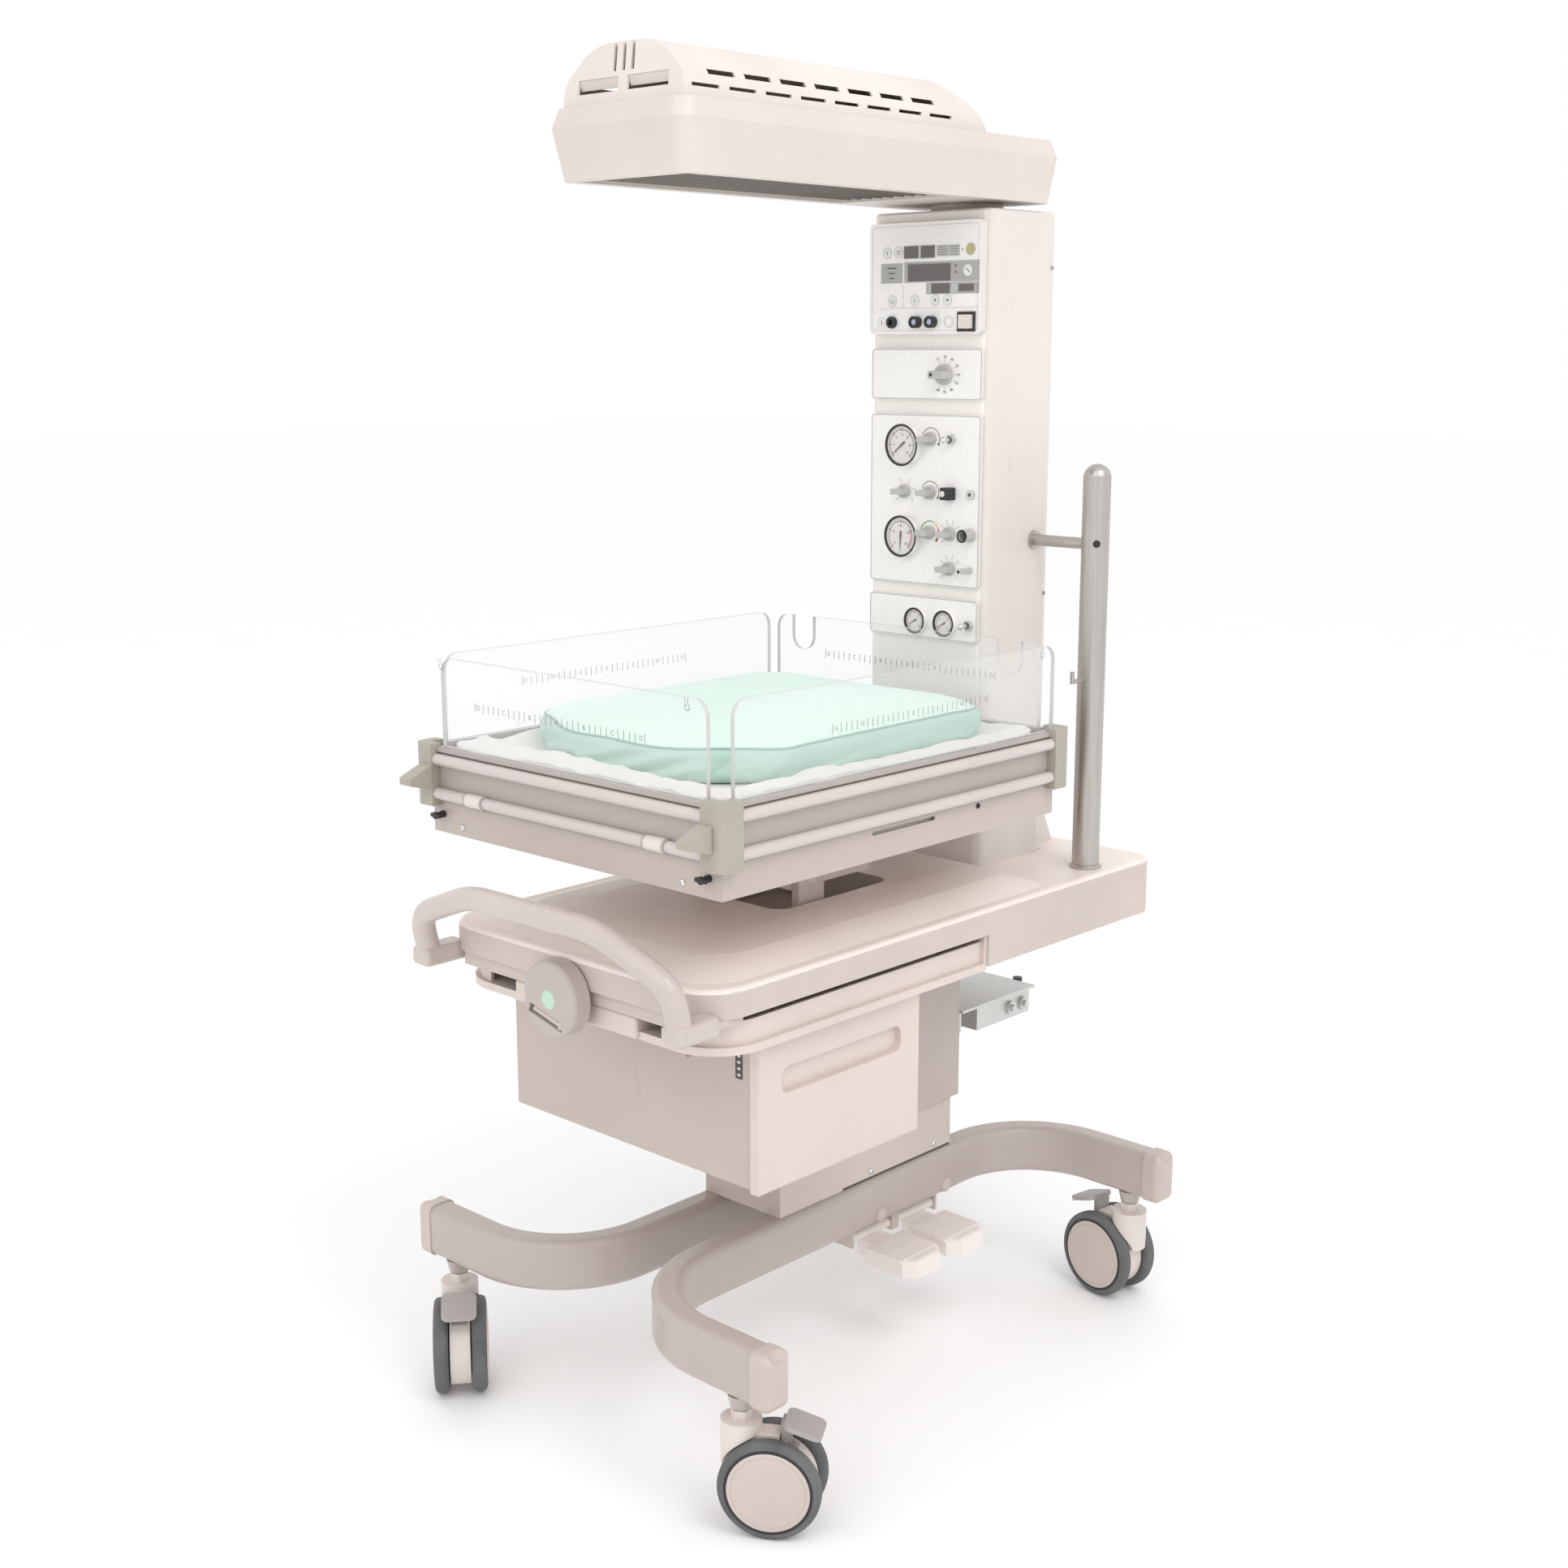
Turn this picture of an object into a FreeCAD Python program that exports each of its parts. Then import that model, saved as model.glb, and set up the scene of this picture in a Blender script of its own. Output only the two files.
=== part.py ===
import FreeCAD, Part
import os
import math
import Sketcher

# Infant radiant warmer on casters: a lifting column carries the deck, the tilting bassinet, the
# control tower and the swivelling heater hood. Millimetres; +Z up, -Y the front, floor at Z 0.

doc = FreeCAD.newDocument("RadiantWarmer")
V = FreeCAD.Vector

# Driving dimensions

SIZES = {
    # base legs
    "leg_width": 40, "leg_height": 70, "leg_bottom": 168, "leg_mid_x": 58, "leg_end_x": 300,
    "leg_bend": 120, "leg_round": 12, "leg_wall": 5, "stem_x": 266.5, "front_stem_y": -392,
    "rear_stem_y": 423, "cap_length": 28, "cap_lip": 1.5, "cap_plug": 12, "cap_round": 11,
    "cap_scoop": 17, "boss_radius": 17, "boss_tip": 13, "boss_height": 16, "fit_gap": 0.4,
    # casters
    "wheel_radius": 62.5, "wheel_width": 19, "wheel_spacing": 31, "wheel_round": 7, "trail": 38,
    "wheel_gap": 1.5, "web_width": 27, "web_radius": 52, "neck_half": 10, "collar_radius": 25,
    "collar_bottom": 124, "collar_top": 138, "fork_low": 82, "stem_radius": 8, "stem_top": 205,
    "nut_radius": 13, "nut_height": 12, "axle_radius": 5, "brake_width": 46, "brake_length": 48,
    "brake_thick": 6, "brake_round": 10, "brake_x": 38, "brake_z": 72, "brake_slope": 18,
    "brake_pin_radius": 3, "brake_pin_x": 17, "brake_pin_z": 50, "brake_ear": 3, "brake_pocket": 42,
    # lifting column
    "column_half": 70, "column_front": -116, "column_rear": 245, "column_top": 556, "column_wall": 3,
    "sleeve_gap": 5, "sleeve_wall": 3, "sleeve_bottom": 315,
    "actuator_radius": 32, "spindle_radius": 26, "actuator_top": 540, "spindle_bottom": 262,
    "actuator_y": 64,
    # foot pedals
    "pedal_front": 45, "pedal_width": 80, "pedal_pitch": 96, "pedal_tip_x": 165, "pedal_pad": 84,
    "pedal_thick": 24, "pedal_corner": 16, "pedal_round": 8, "pedal_top": 146,
    "pedal_rod_x": 52, "pedal_rod_z": 150, "pedal_rod_radius": 5,
    "pedal_barrel": 10, "pedal_arm": 18, "pedal_lug": 5, "rib_height": 1.5, "rib_width": 3,
    # deck and under shelf
    "deck_half": 246, "deck_front": -420, "deck_rear": 490, "deck_top": 656, "deck_skirt": 36,
    "deck_low": 577, "deck_step": 97, "deck_wall": 5, "deck_corner": 62, "deck_rear_corner": 32,
    "deck_round": 7, "crown_top": 676, "crown_inset": 120, "crown_front": -280, "crown_rear": 190,
    "crown_drop": 6, "apron_half": 205, "apron_inset": 8, "apron_low": 601,
    "well_half": 104, "well_front": -152, "well_rear": 66, "well_round": 24, "well_floor": 622,
    "shelf_bottom": 571, "shelf_thick": 10, "shelf_wall": 5, "shelf_wall_top": 610, "shelf_front": -403,
    "shelf_inset": 4, "shelf_corner": 70, "shelf_ledge": 6,
    # drawer
    "drawer_left": -226, "drawer_right": 210, "drawer_front": -314, "drawer_back": -131, "drawer_wing": -22,
    "drawer_wing_x": 86, "drawer_bottom": 381, "drawer_top": 564, "drawer_wall": 2.5,
    "face_thick": 16, "face_overhang": 3, "face_top": 568, "recess_length": 222, "recess_height": 34,
    "recess_depth": 9, "recess_top": 531, "lip_width": 14, "lip_thick": 2.5, "slide_gap": 0.3,
    "rail_web_thick": 3, "end_drop": 11, "recess_round": 12,
    # push handle and tilt drive
    "handle_radius": 15, "handle_foot_y": -450, "handle_foot_z": 620, "handle_lean": 12,
    "handle_rise": 54, "handle_crown": 52, "handle_bend": 40, "knuckle_width": 34, "knuckle_rise": 9,
    "knuckle_round": 7,
    "gearbox_half": 111, "gearbox_front": -409, "gearbox_depth": 72, "gearbox_top": 600,
    "wheel_face_radius": 48, "wheel_face_depth": 25, "wheel_face_gap": 14, "wheel_face_z": 606,
    "wheel_face_round": 6, "drive_radius": 8, "drive_boss": 11.2, "drive_reach": 20,
    "crank_turn": 14, "crank_slot": 12, "crank_length": 62,
    "crank_offset": 24, "crank_radius": 4.5, "crank_pin": 2, "eye_gap": 0.8,
}

SIZES.update({
    # control tower
    "tower_half": 104, "tower_front": 257, "tower_rear": 416, "tower_top": 1554, "tower_wall": 5,
    "tower_round": 14, "foot_rear": 470, "foot_height": 120, "tower_foot_z": 656,
    "fascia_half": 97, "fascia_thick": 6, "fascia_round": 6, "module_thick": 12,
    "module_low": 1391, "module_high": 1539, "blend_low": 1303, "blend_high": 1372,
    "gas_low": 1049, "gas_high": 1283, "supply_low": 974, "supply_high": 1032,
    "shaft_radius": 3, "shaft_gap": 0.4, "knob_lift": 0.5,
    "knob_radius": 9.5, "knob_depth": 22, "grip_width": 8, "big_knob_radius": 14, "big_knob_depth": 20,
    "big_grip_width": 11, "gauge_radius": 29, "small_gauge_radius": 18.5, "gauge_depth": 14,
    "small_gauge_depth": 9, "gauge_rim": 3, "dial_recess": 2, "knob_base": 6,
    "toggle_radius": 2.5, "toggle_length": 18, "toggle_ball": 4.5, "toggle_nut": 8, "toggle_hex": 5,
    "rocker_half_x": 11, "rocker_half_z": 9, "rocker_frame": 3, "rocker_depth": 5, "rocker_gap": 1,
    "rocker_well": 7,
    "select_half": 8.5, "select_depth": 14, "socket_radius": 8, "socket_depth": 5,
    "row_module": 1407, "row_blend": 1337, "row_suction": 1250, "row_breath": 1177, "row_airway": 1122,
    "row_outlet": 1074, "row_supply": 998, "suction_gauge_z": 1241, "airway_gauge_z": 1115,
    "gauge_x": -31, "col_a": -34, "col_b": 11, "col_c": 47, "col_d": 83, "blend_x": 33,
    "small_gauge_a": -8, "small_gauge_b": 44, "jack_x": -55, "probe_a": -11, "probe_b": 16,
    "rocker_x": 74, "outlet_radius": 9, "outlet_length": 20, "nozzle_radius": 4.5, "nozzle_length": 26,
    # accessory pole and gas yoke
    "pole_inset": 38, "pole_y": 367, "pole_radius": 19, "pole_top": 1203, "arm_radius": 8, "arm_z": 1110,
    "arm_flange": 13, "hook_z": 925, "hook_radius": 3, "hook_reach": 26, "hook_rise": 14,
    "yoke_plate": 4, "yoke_plate_z": 437, "yoke_plate_rear": 426, "yoke_left": 6, "yoke_right": 84,
    "yoke_front": 286, "yoke_rear": 412, "yoke_bottom": 404, "yoke_slot": 44, "yoke_arm": 14, "yoke_pin": 5,
    "stud_radius": 10, "stud_tip": 5, "stud_out": 9, "stud_front": 365, "stud_rear": 395,
    "yoke_flange": 30, "screw_radius": 6, "screw_length": 52, "tee_length": 44, "tee_radius": 7,
    # heater hood
    "hood_low_half": 110, "hood_low_front": -310, "hood_low_rear": 386, "hood_low_z": 1564,
    "hood_half": 118, "hood_front": -322, "hood_rear": 394, "hood_z": 1624, "hood_lip_half": 111,
    "hood_lip_front": -316, "hood_lip_rear": 388, "hood_lip_z": 1646, "hood_corner": 22,
    "hood_wall": 5, "cavity_half": 92, "cavity_front": -292, "cavity_rear": 176, "pivot_radius": 32,
    "pivot_depth": 26, "pivot_y": 336, "pivot_flange": 50, "pivot_gap": 0.4,
    "cover_half": 101, "cover_front": -306, "cover_rear": 244, "cover_spring": 1652,
    "cover_top": 1714, "cover_wall": 3, "cover_slope": 60, "cover_knee": 1674, "cover_flat": 52,
    "cover_lean": 8, "cover_round": 36,
    "vent_count": 7, "vent_pitch": 60, "vent_length": 44, "vent_start": -262, "vent_high_z": 1676,
    "vent_height": 6, "vent_low_z": 1660, "vent_low_height": 4, "top_slot": 5, "top_slot_pitch": 15,
    "top_slot_length": 46, "louvre_half": 34, "louvre_offset": 42, "louvre_low": 1660, "louvre_high": 1676,
    "wire_radius": 1.5, "wire_long": 9, "wire_cross": 15, "grille_z": 1568, "element_radius": 7,
    "element_z": 1604, "element_clip": 14, "clip_thick": 6,
    # bassinet
    "tray_half": 259, "tray_front": -411, "tray_rear": 211, "tray_bottom": 768, "tray_wall": 2.5,
    "slot_front": -155, "slot_rear": -36, "slot_low": 799.5, "slot_high": 804.5,
    "tray_top": 874, "rail_low": 808, "rail_high": 880, "rail_web": 3, "bead_radius": 7.5,
    "bead_out": 7.6, "bead_low_z": 820, "bead_high_z": 864, "post_reach": 18, "post_out": 16.5,
    "post_low": 804, "post_high": 884, "post_round": 13, "tilt_y": -85, "tilt_rise": 84,
    "pin_radius": 9, "pedestal_half": 84, "pedestal_front": -112, "pedestal_rear": 42,
    "pedestal_low": 692, "ear_thick": 12, "ear_half": 24, "ear_gap": 0.5,
    "panel_thick": 6, "panel_low": 880.3, "panel_top": 993, "panel_round": 20, "end_panel_half": 236,
    "side_panel_front": -390, "side_panel_rear": 208, "notch_x": 186, "notch_half": 20,
    "notch_bottom": 944, "hinge_out": 9.5, "hinge_radius": 3, "hinge_z": 884.5, "hinge_length": 34,
    "hinge_spot": 150, "latch_width": 22, "latch_reach": 34, "latch_low": 826, "latch_high": 858,
    "latch_nose": 9, "latch_gap": 0.5, "latch_x": 250,
    # soft goods
    "pad_inset": 4, "soft_gap": 0.3, "pad_side": 846, "pad_top": 864, "pad_draw": 8, "pad_corner": 38,
    "mattress_half": 228, "mattress_rear": 160, "mattress_side": -284, "mattress_front": -338,
    "bow_half": 105, "mattress_side_z": 886, "mattress_seam": 906, "mattress_crown": 921, "bow_round": 190,
    "mattress_draw": 7, "mattress_corner": 46, "crown_step": 52,
})

sheet = doc.addObject("Spreadsheet::Sheet", "Dims")
for row, (name, number) in enumerate(SIZES.items(), start=1):
    sheet.set(f"A{row}", name)
    sheet.set(f"B{row}", str(number))
    sheet.setAlias(f"B{row}", name)
doc.recompute()


class Size:
    """A number together with the spreadsheet expression that gives it."""

    def __init__(self, value, text):
        self.value = value
        self.text = text

    def __add__(self, other):
        other = size(other)
        return Size(self.value + other.value, f"({self.text} + {other.text})")

    def __sub__(self, other):
        other = size(other)
        return Size(self.value - other.value, f"({self.text} - {other.text})")

    def __mul__(self, factor):
        other = size(factor)
        return Size(self.value * other.value, f"({self.text} * {other.text})")

    def __truediv__(self, factor):
        other = size(factor)
        return Size(self.value / other.value, f"({self.text} / {other.text})")

    def __neg__(self):
        return Size(-self.value, f"(0 - {self.text})")

    def __radd__(self, other):
        return size(other) + self

    def __rsub__(self, other):
        return size(other) - self


def size(value):
    if isinstance(value, Size):
        return value
    return Size(float(value), f"({float(value)!r})")


class Dims:
    """The sheet's cells by alias, each as a Size."""

    def __getattr__(self, name):
        return Size(float(sheet.get(name)), f"Dims.{name}")


d = Dims()


# Building blocks

def bind(obj, prop, value):
    value = size(value)
    setattr(obj, prop, value.value)
    obj.setExpression(prop, value.text)


def place(obj, x, y, z, rotation=None):
    x, y, z = size(x), size(y), size(z)
    obj.Placement = FreeCAD.Placement(V(x.value, y.value, z.value), rotation or FreeCAD.Rotation())
    for axis, value in zip("xyz", (x, y, z)):
        obj.setExpression(f".Placement.Base.{axis}", value.text)
    return obj


def box(name, x0, x1, y0, y1, z0, z1):
    obj = doc.addObject("Part::Box", name)
    bind(obj, "Length", size(x1) - x0)
    bind(obj, "Width", size(y1) - y0)
    bind(obj, "Height", size(z1) - z0)
    return place(obj, x0, y0, z0)


TURN = {
    "x": FreeCAD.Rotation(V(0, 1, 0), 90),
    "y": FreeCAD.Rotation(V(1, 0, 0), -90),
    "z": FreeCAD.Rotation(),
}


def along(axis, start, a, b):
    """The point at start along the axis; a and b are the other two coordinates in X, Y, Z order."""
    return {"x": (start, a, b), "y": (a, start, b), "z": (a, b, start)}[axis]


def cylinder(name, axis, radius, start, end, a, b):
    obj = doc.addObject("Part::Cylinder", name)
    bind(obj, "Radius", radius)
    bind(obj, "Height", size(end) - start)
    return place(obj, *along(axis, start, a, b), TURN[axis])


def cone(name, axis, radius1, radius2, start, end, a, b):
    obj = doc.addObject("Part::Cone", name)
    bind(obj, "Radius1", radius1)
    bind(obj, "Radius2", radius2)
    bind(obj, "Height", size(end) - start)
    return place(obj, *along(axis, start, a, b), TURN[axis])


def sphere(name, radius, x, y, z):
    obj = doc.addObject("Part::Sphere", name)
    bind(obj, "Radius", radius)
    return place(obj, x, y, z)


def hexagon(name, axis, radius, start, end, a, b):
    obj = doc.addObject("Part::Prism", name)
    obj.Polygon = 6
    bind(obj, "Circumradius", radius)
    bind(obj, "Height", size(end) - start)
    return place(obj, *along(axis, start, a, b), TURN[axis])


def fuse(name, *shapes):
    obj = doc.addObject("Part::MultiFuse", name)
    obj.Shapes = list(shapes)
    obj.Refine = True
    return obj


def cut(name, base, *tools):
    obj = doc.addObject("Part::Cut", name)
    obj.Base = base
    obj.Tool = tools[0] if len(tools) == 1 else fuse(name + "_tools", *tools)
    return obj


def group(name, *shapes):
    obj = doc.addObject("Part::Compound", name)
    obj.Links = list(shapes)
    return obj


def mirror(name, source, normal=V(1, 0, 0)):
    obj = doc.addObject("Part::Mirroring", name)
    obj.Source = source
    obj.Normal = normal
    return obj


def near(value, wanted):
    return abs(value - size(wanted).value) < 0.01


def edge_box(edge):
    b = edge.BoundBox
    return (b.XMin, b.XMax, b.YMin, b.YMax, b.ZMin, b.ZMax)


def rounded(name, base, radius, picked):
    """Round the edges of base that picked(xmin, xmax, ymin, ymax, zmin, zmax) chooses."""
    doc.recompute()
    obj = doc.addObject("Part::Fillet", name)
    obj.Base = base
    width = size(radius).value
    chosen = [i for i, e in enumerate(base.Shape.Edges, start=1) if picked(*edge_box(e))]
    if not chosen:
        raise RuntimeError(f"no edge to round on {name}")
    obj.Edges = [(i, width, width) for i in chosen]
    return obj


def upright(x0, x1, y0, y1, z0, z1):
    return x1 - x0 < 0.01 and y1 - y0 < 0.01


def origin_plane(body, role):
    return next(f for f in body.Origin.OriginFeatures if f.Role == role)


def sketch_on(body, name, plane, offset):
    sketch = body.newObject("Sketcher::SketchObject", name)
    sketch.AttachmentSupport = [(origin_plane(body, plane), "")]
    sketch.MapMode = "FlatFace"
    offset = size(offset)
    sketch.AttachmentOffset = FreeCAD.Placement(V(0, 0, offset.value), FreeCAD.Rotation())
    sketch.setExpression(".AttachmentOffset.Base.z", offset.text)
    return sketch


def pin_point(sketch, geo, pos, u, v):
    for kind, value in (("DistanceX", size(u)), ("DistanceY", size(v))):
        index = sketch.addConstraint(Sketcher.Constraint(kind, -1, 1, geo, pos, value.value))
        sketch.setExpression(f"Constraints[{index}]", value.text)


def trimmed(corners):
    """Corner points, and where each corner's rounding starts and ends on its two sides."""
    points = [V(size(c[0]).value, size(c[1]).value, 0) for c in corners]
    radii = [size(c[2]).value if len(c) > 2 else 0 for c in corners]
    count = len(points)
    ends = []
    for i, p in enumerate(points):
        if radii[i] == 0:
            ends.append((p, p))
            continue
        back = (points[i - 1] - p).normalize()
        ahead = (points[(i + 1) % count] - p).normalize()
        reach = radii[i] / math.tan(back.getAngle(ahead) / 2)
        ends.append((p + back * reach, p + ahead * reach))
    return points, radii, ends


def add_round(sketch, corner, point, tangents, before, after):
    """An arc between the two trimmed sides of a corner, with the sharp corner kept as a point."""
    start, end = tangents
    radius = size(corner[2])
    middle = (start + end) * 0.5
    reach = (middle - point).Length
    centre = point + (middle - point) * (math.hypot((start - point).Length, radius.value) / reach)
    turn = (point - start).cross(end - point).z
    first, last = (start, end) if turn > 0 else (end, start)
    circle = Part.Circle(centre, V(0, 0, 1), radius.value)
    angles = [math.atan2(q.y - centre.y, q.x - centre.x) for q in (first, last)]
    arc = sketch.addGeometry(Part.ArcOfCircle(circle, angles[0], angles[1]), False)
    start_pos, end_pos = (1, 2) if turn > 0 else (2, 1)
    sketch.addConstraint(Sketcher.Constraint("Tangent", before, 2, arc, start_pos))
    sketch.addConstraint(Sketcher.Constraint("Tangent", arc, end_pos, after, 1))
    index = sketch.addConstraint(Sketcher.Constraint("Radius", arc, radius.value))
    sketch.setExpression(f"Constraints[{index}]", radius.text)
    dot = sketch.addGeometry(Part.Point(point), True)
    sketch.addConstraint(Sketcher.Constraint("PointOnObject", dot, 1, before))
    sketch.addConstraint(Sketcher.Constraint("PointOnObject", dot, 1, after))
    pin_point(sketch, dot, 1, corner[0], corner[1])


def draw(sketch, corners, closed=True):
    """Lines through corners (u, v) or (u, v, radius), with every corner and radius tied to the sheet."""
    points, radii, ends = trimmed(corners)
    count = len(points)
    sides = count if closed else count - 1
    for i in range(sides):
        sketch.addGeometry(Part.LineSegment(ends[i][1], ends[(i + 1) % count][0]), False)
    for i in range(count) if closed else range(1, count - 1):
        before, after = (i - 1) % count, i
        if radii[i] == 0:
            sketch.addConstraint(Sketcher.Constraint("Coincident", before, 2, after, 1))
            pin_point(sketch, after, 1, corners[i][0], corners[i][1])
        else:
            add_round(sketch, corners[i], points[i], ends[i], before, after)
    if not closed:
        pin_point(sketch, 0, 1, corners[0][0], corners[0][1])
        pin_point(sketch, sides - 1, 2, corners[-1][0], corners[-1][1])


def prism(name, plane, corners, start, length):
    """A body padded from an outline on one of its origin planes, start along the plane's normal."""
    body = doc.addObject("PartDesign::Body", name)
    sketch = sketch_on(body, name + "_outline", plane, start)
    draw(sketch, corners)
    pad = body.newObject("PartDesign::Pad", name + "_pad")
    pad.Profile = sketch
    bind(pad, "Length", length)
    return body


def plan(name, corners, low, high):
    return prism(name, "XY_Plane", corners, low, size(high) - low)


def loft(name, sections, ruled):
    """A body lofted through outlines at rising heights, each (height, corners)."""
    body = doc.addObject("PartDesign::Body", name)
    sketches = []
    for i, (height, corners) in enumerate(sections):
        sketch = sketch_on(body, f"{name}_section{i}", "XY_Plane", height)
        draw(sketch, corners)
        sketches.append(sketch)
    feature = body.newObject("PartDesign::AdditiveLoft", name + "_loft")
    feature.Profile = sketches[0]
    feature.Sections = sketches[1:]
    feature.Ruled = ruled
    return body


def oblong(x0, x1, y0, y1, front=None, rear=None):
    """The corners of a rectangle, with one radius at its front pair and one at its rear pair."""
    f = [front] if front is not None else []
    r = [rear] if rear is not None else []
    return [(x0, y0, *f), (x1, y0, *f), (x1, y1, *r), (x0, y1, *r)]


NODES = []


def node(name, obj):
    obj.Label = name
    NODES.append(obj)
    return obj


# Base: two bent tube legs, back to back, with end caps

def leg_outline(inset, run_on):
    w = d.leg_width / 2 - inset
    end = d.leg_end_x + run_on
    inner = d.leg_bend + inset
    outer = d.leg_bend + d.leg_width - inset
    return [
        (end, d.front_stem_y - w), (end, d.front_stem_y + w),
        (d.leg_mid_x + w, d.front_stem_y + w, inner), (d.leg_mid_x + w, d.rear_stem_y - w, inner),
        (end, d.rear_stem_y - w), (end, d.rear_stem_y + w),
        (d.leg_mid_x - w, d.rear_stem_y + w, outer), (d.leg_mid_x - w, d.front_stem_y - w, outer),
    ]


leg_top = d.leg_bottom + d.leg_height
leg_bar = plan("leg_bar", leg_outline(0, 0), d.leg_bottom, leg_top)


def leg_long_edge(x0, x1, y0, y1, z0, z1):
    return z1 - z0 < 0.01 and not (near(x0, d.leg_end_x) and near(x1, d.leg_end_x))


leg_skin = rounded("leg_skin", leg_bar, d.leg_round, leg_long_edge)
leg_hollow = plan("leg_hollow", leg_outline(d.leg_wall, 1), d.leg_bottom + d.leg_wall, leg_top - d.leg_wall)
stem_bore = d.stem_radius + d.fit_gap
boss_low = d.leg_bottom - d.boss_height
leg_holes = []
leg_bosses = []
for end, y in (("front", d.front_stem_y), ("rear", d.rear_stem_y)):
    leg_holes.append(cylinder(f"leg_hole_{end}", "z", stem_bore, boss_low - 1, d.leg_bottom + d.leg_wall + 1,
                              d.stem_x, y))
    leg_bosses.append(cone(f"leg_boss_{end}", "z", d.boss_tip, d.boss_radius, boss_low, d.leg_bottom + 1,
                           d.stem_x, y))
right_leg = cut("right_leg", fuse("leg_solid", leg_skin, *leg_bosses), leg_hollow, *leg_holes)
node("legs", group("legs", right_leg, mirror("left_leg", right_leg)))


def end_cap(name, y):
    half = d.leg_width / 2
    end = d.leg_end_x + d.cap_length
    low, high = d.leg_bottom - d.cap_lip, leg_top + d.cap_lip
    block = box(name + "_block", d.leg_end_x, end, y - half - d.cap_lip, y + half + d.cap_lip, low, high)

    def outer(x0, x1, y0, y1, z0, z1):
        return x1 - x0 > 0.01 or near(x0, end)

    soft = rounded(name + "_soft", block, d.cap_round, outer)
    scoop = sphere(name + "_scoop", d.cap_scoop, end + d.cap_scoop / 4, y, high + d.cap_scoop / 4)
    inner = half - d.leg_wall - d.fit_gap
    plug = box(name + "_plug", d.leg_end_x - d.cap_plug, d.leg_end_x + 2, y - inner, y + inner,
               d.leg_bottom + d.leg_wall + d.fit_gap, leg_top - d.leg_wall - d.fit_gap)
    return fuse(name, cut(name + "_shell", soft, scoop), plug)


front_cap = end_cap("cap_front", d.front_stem_y)
rear_cap = end_cap("cap_rear", d.rear_stem_y)
node("leg_end_caps", group("leg_end_caps", front_cap, rear_cap, mirror("cap_front_left", front_cap),
                           mirror("cap_rear_left", rear_cap)))


# Casters: swivel fork with stem and nut, twin wheels on an axle, and a brake pedal

wheel_z = d.wheel_radius
web_half = d.web_width / 2
pin_x = d.trail + d.brake_pin_x
pin_z = wheel_z + d.brake_pin_z
ear_y = web_half - d.brake_ear
wheel_inner = d.wheel_spacing / 2
wheel_outer = wheel_inner + d.wheel_width
fork_block = fuse(
    "fork_block",
    cylinder("fork_web", "y", d.web_radius, -web_half, web_half, d.trail, wheel_z),
    box("fork_neck", -d.collar_radius / 2, d.trail + d.neck_half, -web_half, web_half, wheel_z,
        d.collar_bottom),
    cylinder("fork_collar", "z", d.collar_radius, d.fork_low, d.collar_top, 0, 0),
    box("fork_ear_right", d.trail, pin_x + d.brake_ear, ear_y, web_half, wheel_z + d.web_radius / 2,
        pin_z + d.brake_pin_radius + 2),
    box("fork_ear_left", d.trail, pin_x + d.brake_ear, -web_half, -ear_y, wheel_z + d.web_radius / 2,
        pin_z + d.brake_pin_radius + 2),
)
tyre_room = d.wheel_radius + d.wheel_gap
fork_shape = cut(
    "fork_shape", fork_block,
    cylinder("tyre_room_right", "y", tyre_room, web_half, wheel_outer, d.trail, wheel_z),
    cylinder("tyre_room_left", "y", tyre_room, -wheel_outer, -web_half, d.trail, wheel_z),
    box("brake_room", d.trail + d.neck_half, d.trail + d.wheel_radius, -ear_y, ear_y,
        wheel_z + d.brake_pocket,
        d.collar_bottom),
)
fork_solid = fuse(
    "fork_solid", fork_shape,
    hexagon("fork_nut", "z", d.nut_radius, d.collar_top - 1, d.collar_top + d.nut_height, 0, 0),
    cylinder("fork_stem", "z", d.stem_radius, d.collar_top, d.stem_top, 0, 0),
    cylinder("fork_pin", "y", d.brake_pin_radius, -web_half, web_half, pin_x, pin_z),
)
fork_master = cut("fork_master", fork_solid, cylinder("fork_bore", "y", d.axle_radius + d.fit_gap,
                                                      -d.web_width,
                                                      d.web_width, d.trail, wheel_z))


def tyre(name, start):
    disc = cylinder(name + "_disc", "y", d.wheel_radius, start, start + d.wheel_width, d.trail, wheel_z)

    def rim(x0, x1, y0, y1, z0, z1):
        return y1 - y0 < 0.01

    return rounded(name, disc, d.wheel_round, rim)


wheels_master = fuse(
    "wheels_master", tyre("tyre_a", wheel_inner), tyre("tyre_b", -wheel_outer),
    cylinder("wheel_axle", "y", d.axle_radius, -wheel_outer + 2, wheel_outer - 2, d.trail, wheel_z),
)

# The brake pedal is a rounded tread that slopes over the wheels, on an arm with a barrel round the fork's pin.
slope = math.radians(d.brake_slope.value)
tread_x = d.brake_length / 2
tread_y = d.brake_width / 2
tread_z = wheel_z + d.brake_z
brake_plate = plan("brake_plate", oblong(-tread_x, tread_x, -tread_y, tread_y, d.brake_round, d.brake_round),
                   -d.brake_thick / 2, d.brake_thick / 2)
place(brake_plate, d.trail + d.brake_x, 0, tread_z, FreeCAD.Rotation(V(0, 1, 0), d.brake_slope.value))
barrel_half = ear_y - d.fit_gap
barrel_radius = d.brake_pin_radius + 2.5
brake_arm = box("brake_arm", pin_x - barrel_radius, pin_x + barrel_radius, -barrel_half, barrel_half, pin_z,
                tread_z + (d.brake_x - d.brake_pin_x) * math.tan(slope))
brake_solid = fuse(
    "brake_solid", brake_plate, brake_arm,
    cylinder("brake_barrel", "y", barrel_radius, -barrel_half, barrel_half, pin_x, pin_z),
)
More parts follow.
